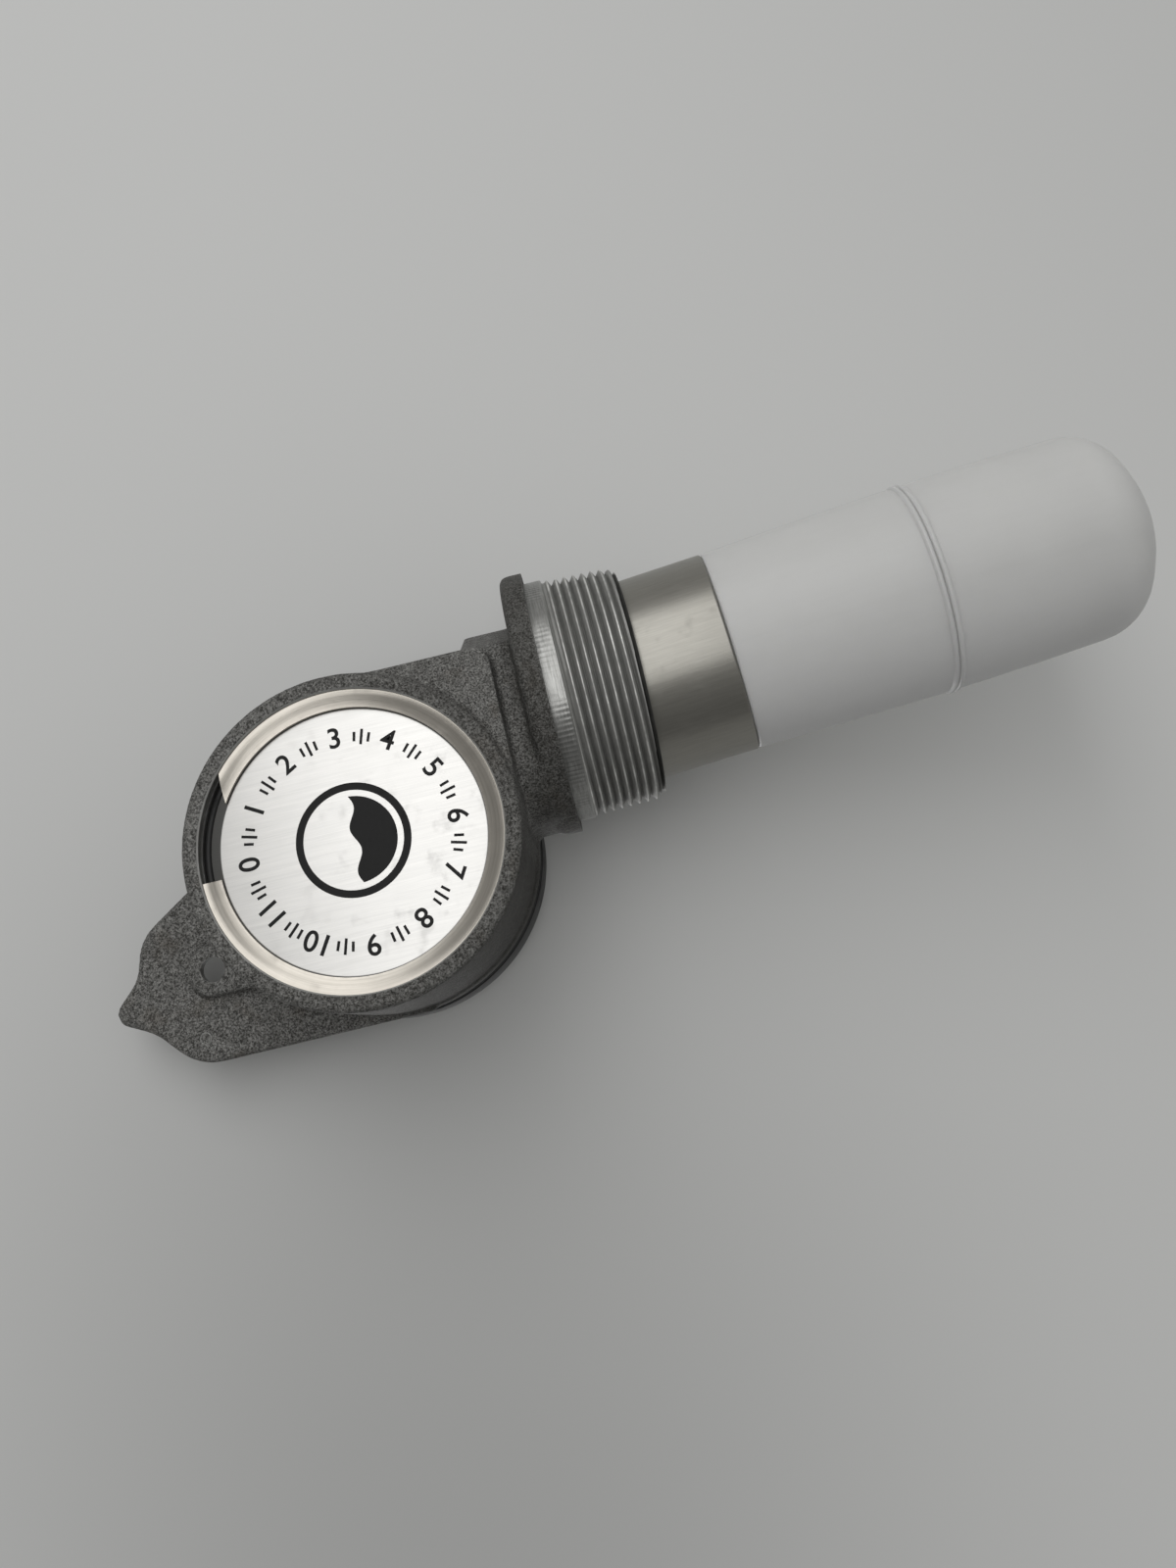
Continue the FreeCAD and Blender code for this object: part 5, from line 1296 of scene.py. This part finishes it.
# %% Cable run
CABLE_RADIUS = 0.4
CABLE_SIDES = 14
CABLE_RINGS = 90
cable_low = low("cable_run").z
cable_high = high("cable_run").z
bpy.ops.mesh.primitive_circle_add(vertices=CABLE_SIDES, radius=CABLE_RADIUS * MM, fill_type="NGON",
                                  location=(0, 0, cable_low * MM))
cable = bpy.context.object
cable.name = "cable_strand"
edit(cable)
step = (cable_high - cable_low) / CABLE_RINGS
for _ in range(CABLE_RINGS):
    bpy.ops.mesh.extrude_region_move(TRANSFORM_OT_translate={"value": (0, 0, step * MM)})
leave()
bpy.ops.object.transform_apply(location=True, rotation=True, scale=True)
tidy_mesh(cable, smooth=60)
cable_steel = metal("cable_steel", light=(0.62, 0.61, 0.58), dark=(0.24, 0.24, 0.23), roughness=0.38,
                    lines=(1.0, 1.0, 0.6), count=3200.0, depth=0.00008)
dress(cable, cable_steel)
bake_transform(cable)
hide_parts("cable_run")
print("cable run at rest:", round(cable_high - cable_low, 1), "mm")

# %% [markdown]
# On the far side a black bezel clamps the lens over the dial. It is moulded, with soft edges and a
# sloping lip, so one outline with rounded corners, spun about the housing's axis, gives all of it.

# %% Bezel
BEZEL_INNER = COVER_BORE + 0.4
BEZEL_FOOT = CASTING_BACK + 0.8
LIP = COVER_BORE - 2.6
bezel = turned_on_housing("dial_bezel", [
    (BEZEL_INNER, BEZEL_FOOT), (BEZEL_RADIUS, BEZEL_FOOT, 0.3), (BEZEL_RADIUS, BEZEL_BACK, 1.1),
    (COVER_BORE - 1.4, BEZEL_BACK, 0.3), (LIP, BEZEL_BACK - 0.9, 0.3), (LIP, LENS_BACK),
    (BEZEL_INNER, LENS_BACK)])
bezel_black = plastic("bezel_black", (0.012, 0.012, 0.012), roughness=0.5, grain=1500.0, depth=0.00004,
                      Specular_IOR_Level=0.3)
dress(bezel, bezel_black)
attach(bezel, "housing")
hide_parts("bezel")
report("bezel:", bezel)

# %% [markdown]
# Four pan-head screws hold the bezel. One screw is turned, gets its socket from a six-sided solid
# of air, and is copied to the other three places, each copy with a mesh of its own.

# %% Bezel screws
SHANK = 1.2
SHANK_END = BEZEL_BACK - 18
HEAD_UNDER = BEZEL_BACK + 0.02
HEAD_TOP = BEZEL_BACK + 1.3
HEAD_RADIUS = 2.2
HEAD_ROUND = 0.55
SOCKET_RADIUS = 0.95
SOCKET_FLOOR = BEZEL_BACK + 0.5
screw = turned("screw", [(0, SHANK_END), (SHANK, SHANK_END), (SHANK, HEAD_UNDER), (HEAD_RADIUS, HEAD_UNDER),
                         (HEAD_RADIUS, HEAD_TOP, HEAD_ROUND), (0, HEAD_TOP)], steps=48)
socket_turns = [math.radians(60 * index) for index in range(6)]
socket = ring_of_corners("socket", [(SOCKET_RADIUS * math.cos(turn), SOCKET_RADIUS * math.sin(turn))
                                    for turn in socket_turns], "NGON")
push(socket, -2)
settle(socket, Matrix.Translation((0, 0, SOCKET_FLOOR * MM)) @ TIPPED)
tidy_mesh(socket)
screw_steel = metal("screw_steel", light=(0.66, 0.65, 0.62), dark=(0.48, 0.47, 0.45), roughness=0.3,
                    count=1800.0)
combine(dress(screw, screw_steel), dress(socket, screw_steel), "DIFFERENCE")
tidy_mesh(screw, smooth=35)
screws = []
for place in screw_places:
    twin = screw.copy()
    twin.data = screw.data.copy()
    bpy.context.collection.objects.link(twin)
    screws.append(settle(twin, place))
bpy.data.objects.remove(screw)
screws = join(screws, "pan_head_screws")
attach(screws, "housing")
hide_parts("bezel_screws")
report("bezel screws:", screws)

# %% [markdown]
# The dial is white enamel. Twelve plain numbers with a tick for every quarter serve both hands: the
# long hand reads inches, the short one feet. The figures are the same flat print as on the label.

# %% Print on the dial
DIAL_NUMBERS = DIAL_RADIUS - 9.6
DIAL_NUMBER_SIZE = 7.0
HOUR_MARKS = DIAL_RADIUS - 3.4
HOUR_MARK_SIZE = (0.9, 4.0)
TICK_EDGE = DIAL_RADIUS - 1.4
TICK_WIDTH = 0.45
TICKS = ((7.5, 2.0), (15, 3.0), (22.5, 2.0))
marks = []
for index in range(12):
    number_place = at_clock(dial_face, DIAL_NUMBERS, 30 * index, upright=True)
    marks.append(flat_text(str(index), DIAL_NUMBER_SIZE, number_place))
    marks.append(flat_bar(*HOUR_MARK_SIZE, at_clock(dial_face, HOUR_MARKS, 30 * index)))
    for degrees, length in TICKS:
        tick_place = at_clock(dial_face, TICK_EDGE - length / 2, 30 * index + degrees)
        marks.append(flat_bar(TICK_WIDTH, length, tick_place))
dial_print = join(marks, "dial_print")
dress(dial_print, ink_black)
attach(dial_print, "housing")
report("print on the dial:", dial_print)

# %% [markdown]
# Glass must let light through to the dial. A path tracer blocks a lamp behind glass, so for shadow
# rays and for light that has already bounced the lens is simply clear.

# %% Lens
lens_glass, wire, skin, here = finish("lens_glass", roughness=0.03, Transmission_Weight=1.0, IOR=1.49,
                                      Base_Color=(0.96, 0.98, 0.975, 1))
smears = use(wire, "stains", here, Size=60.0, Contrast=0.7)
wire.feed(skin["Roughness"], wire.ramp(smears["Blotch"], 0.0, 1.0, 0.015, 0.07))
passing = wire.add("MixShader")
path = wire.add("LightPath").outputs
wire.feed(passing.inputs["Fac"], wire.calc("MAXIMUM", path["Is Shadow Ray"], path["Is Diffuse Ray"]))
wire.feed(passing.inputs[1], wire.tree.nodes["Principled BSDF"].outputs[0])
wire.feed(passing.inputs[2], wire.add("BsdfTransparent").outputs[0])
wire.feed(wire.tree.nodes["Material Output"].inputs["Surface"], passing.outputs[0])
print("lens:", round(high("lens").y - low("lens").y, 2), "mm thick")

# %% [markdown]
# The solids that stay as they came get their finish by slot: turned brass for the wheels, ground
# steel for arbors, sintered bronze for bushes, natural acetal for the drum, blued strip for the
# spring. They are seen through the dial's holes, through the lens and when the gauge is opened.

# %% Finishes of the frame's own solids
FINISHES = {
    "cover": cut_cover,
    "seal": plastic("seal_rubber", (0.018, 0.018, 0.018), roughness=0.6, grain=1800.0),
    "steel": metal("ground_steel", light=(0.60, 0.59, 0.57), dark=(0.44, 0.44, 0.43), roughness=0.28,
                   lines=(0.1, 1.0, 0.1), count=2200.0),
    "bronze": metal("sintered_bronze", light=(0.55, 0.36, 0.18), dark=(0.34, 0.22, 0.11), roughness=0.42,
                    count=2600.0, depth=0.00006),
    "drum": plastic("drum_acetal", (0.72, 0.70, 0.64), roughness=0.38),
    "cable": cable_steel,
    "spring": metal("blued_strip", light=(0.20, 0.23, 0.30), dark=(0.10, 0.11, 0.15), roughness=0.3,
                    lines=(0.1, 1.0, 0.1), count=1800.0),
    "brass": metal("cut_brass", light=(0.78, 0.58, 0.26), dark=(0.60, 0.43, 0.18), roughness=0.3,
                   lines=(1.0, 0.2, 1.0), count=2000.0),
    "plate": metal("milled_plate", light=(0.66, 0.66, 0.65), dark=(0.46, 0.46, 0.45), roughness=0.36,
                   lines=(1.0, 0.2, 0.1), count=1800.0),
    "dial": plastic("dial_enamel", (0.86, 0.86, 0.83), roughness=0.3, grain=900.0, depth=0.00001, drift=0.12),
    "screw": screw_steel,
    "hand": plastic("hand_enamel", (0.014, 0.014, 0.014), roughness=0.35, grain=1200.0),
    "lens": lens_glass,
    "bezel": bezel_black,
    "float": float_milk,
    "ferrule": metal("pressed_ferrule", light=(0.66, 0.66, 0.64), dark=(0.42, 0.42, 0.41), count=2400.0,
                     depth=0.00006),
    "casting": cast_skin,
    "label": label.data.materials[0],
    "ring": ring.data.materials[0],
    "sleeve": sleeve.data.materials[0],
}
for part in frame["record"]["subparts"]:
    dress(frame["nodes"][part["node"]], FINISHES[part["material_slot"]])
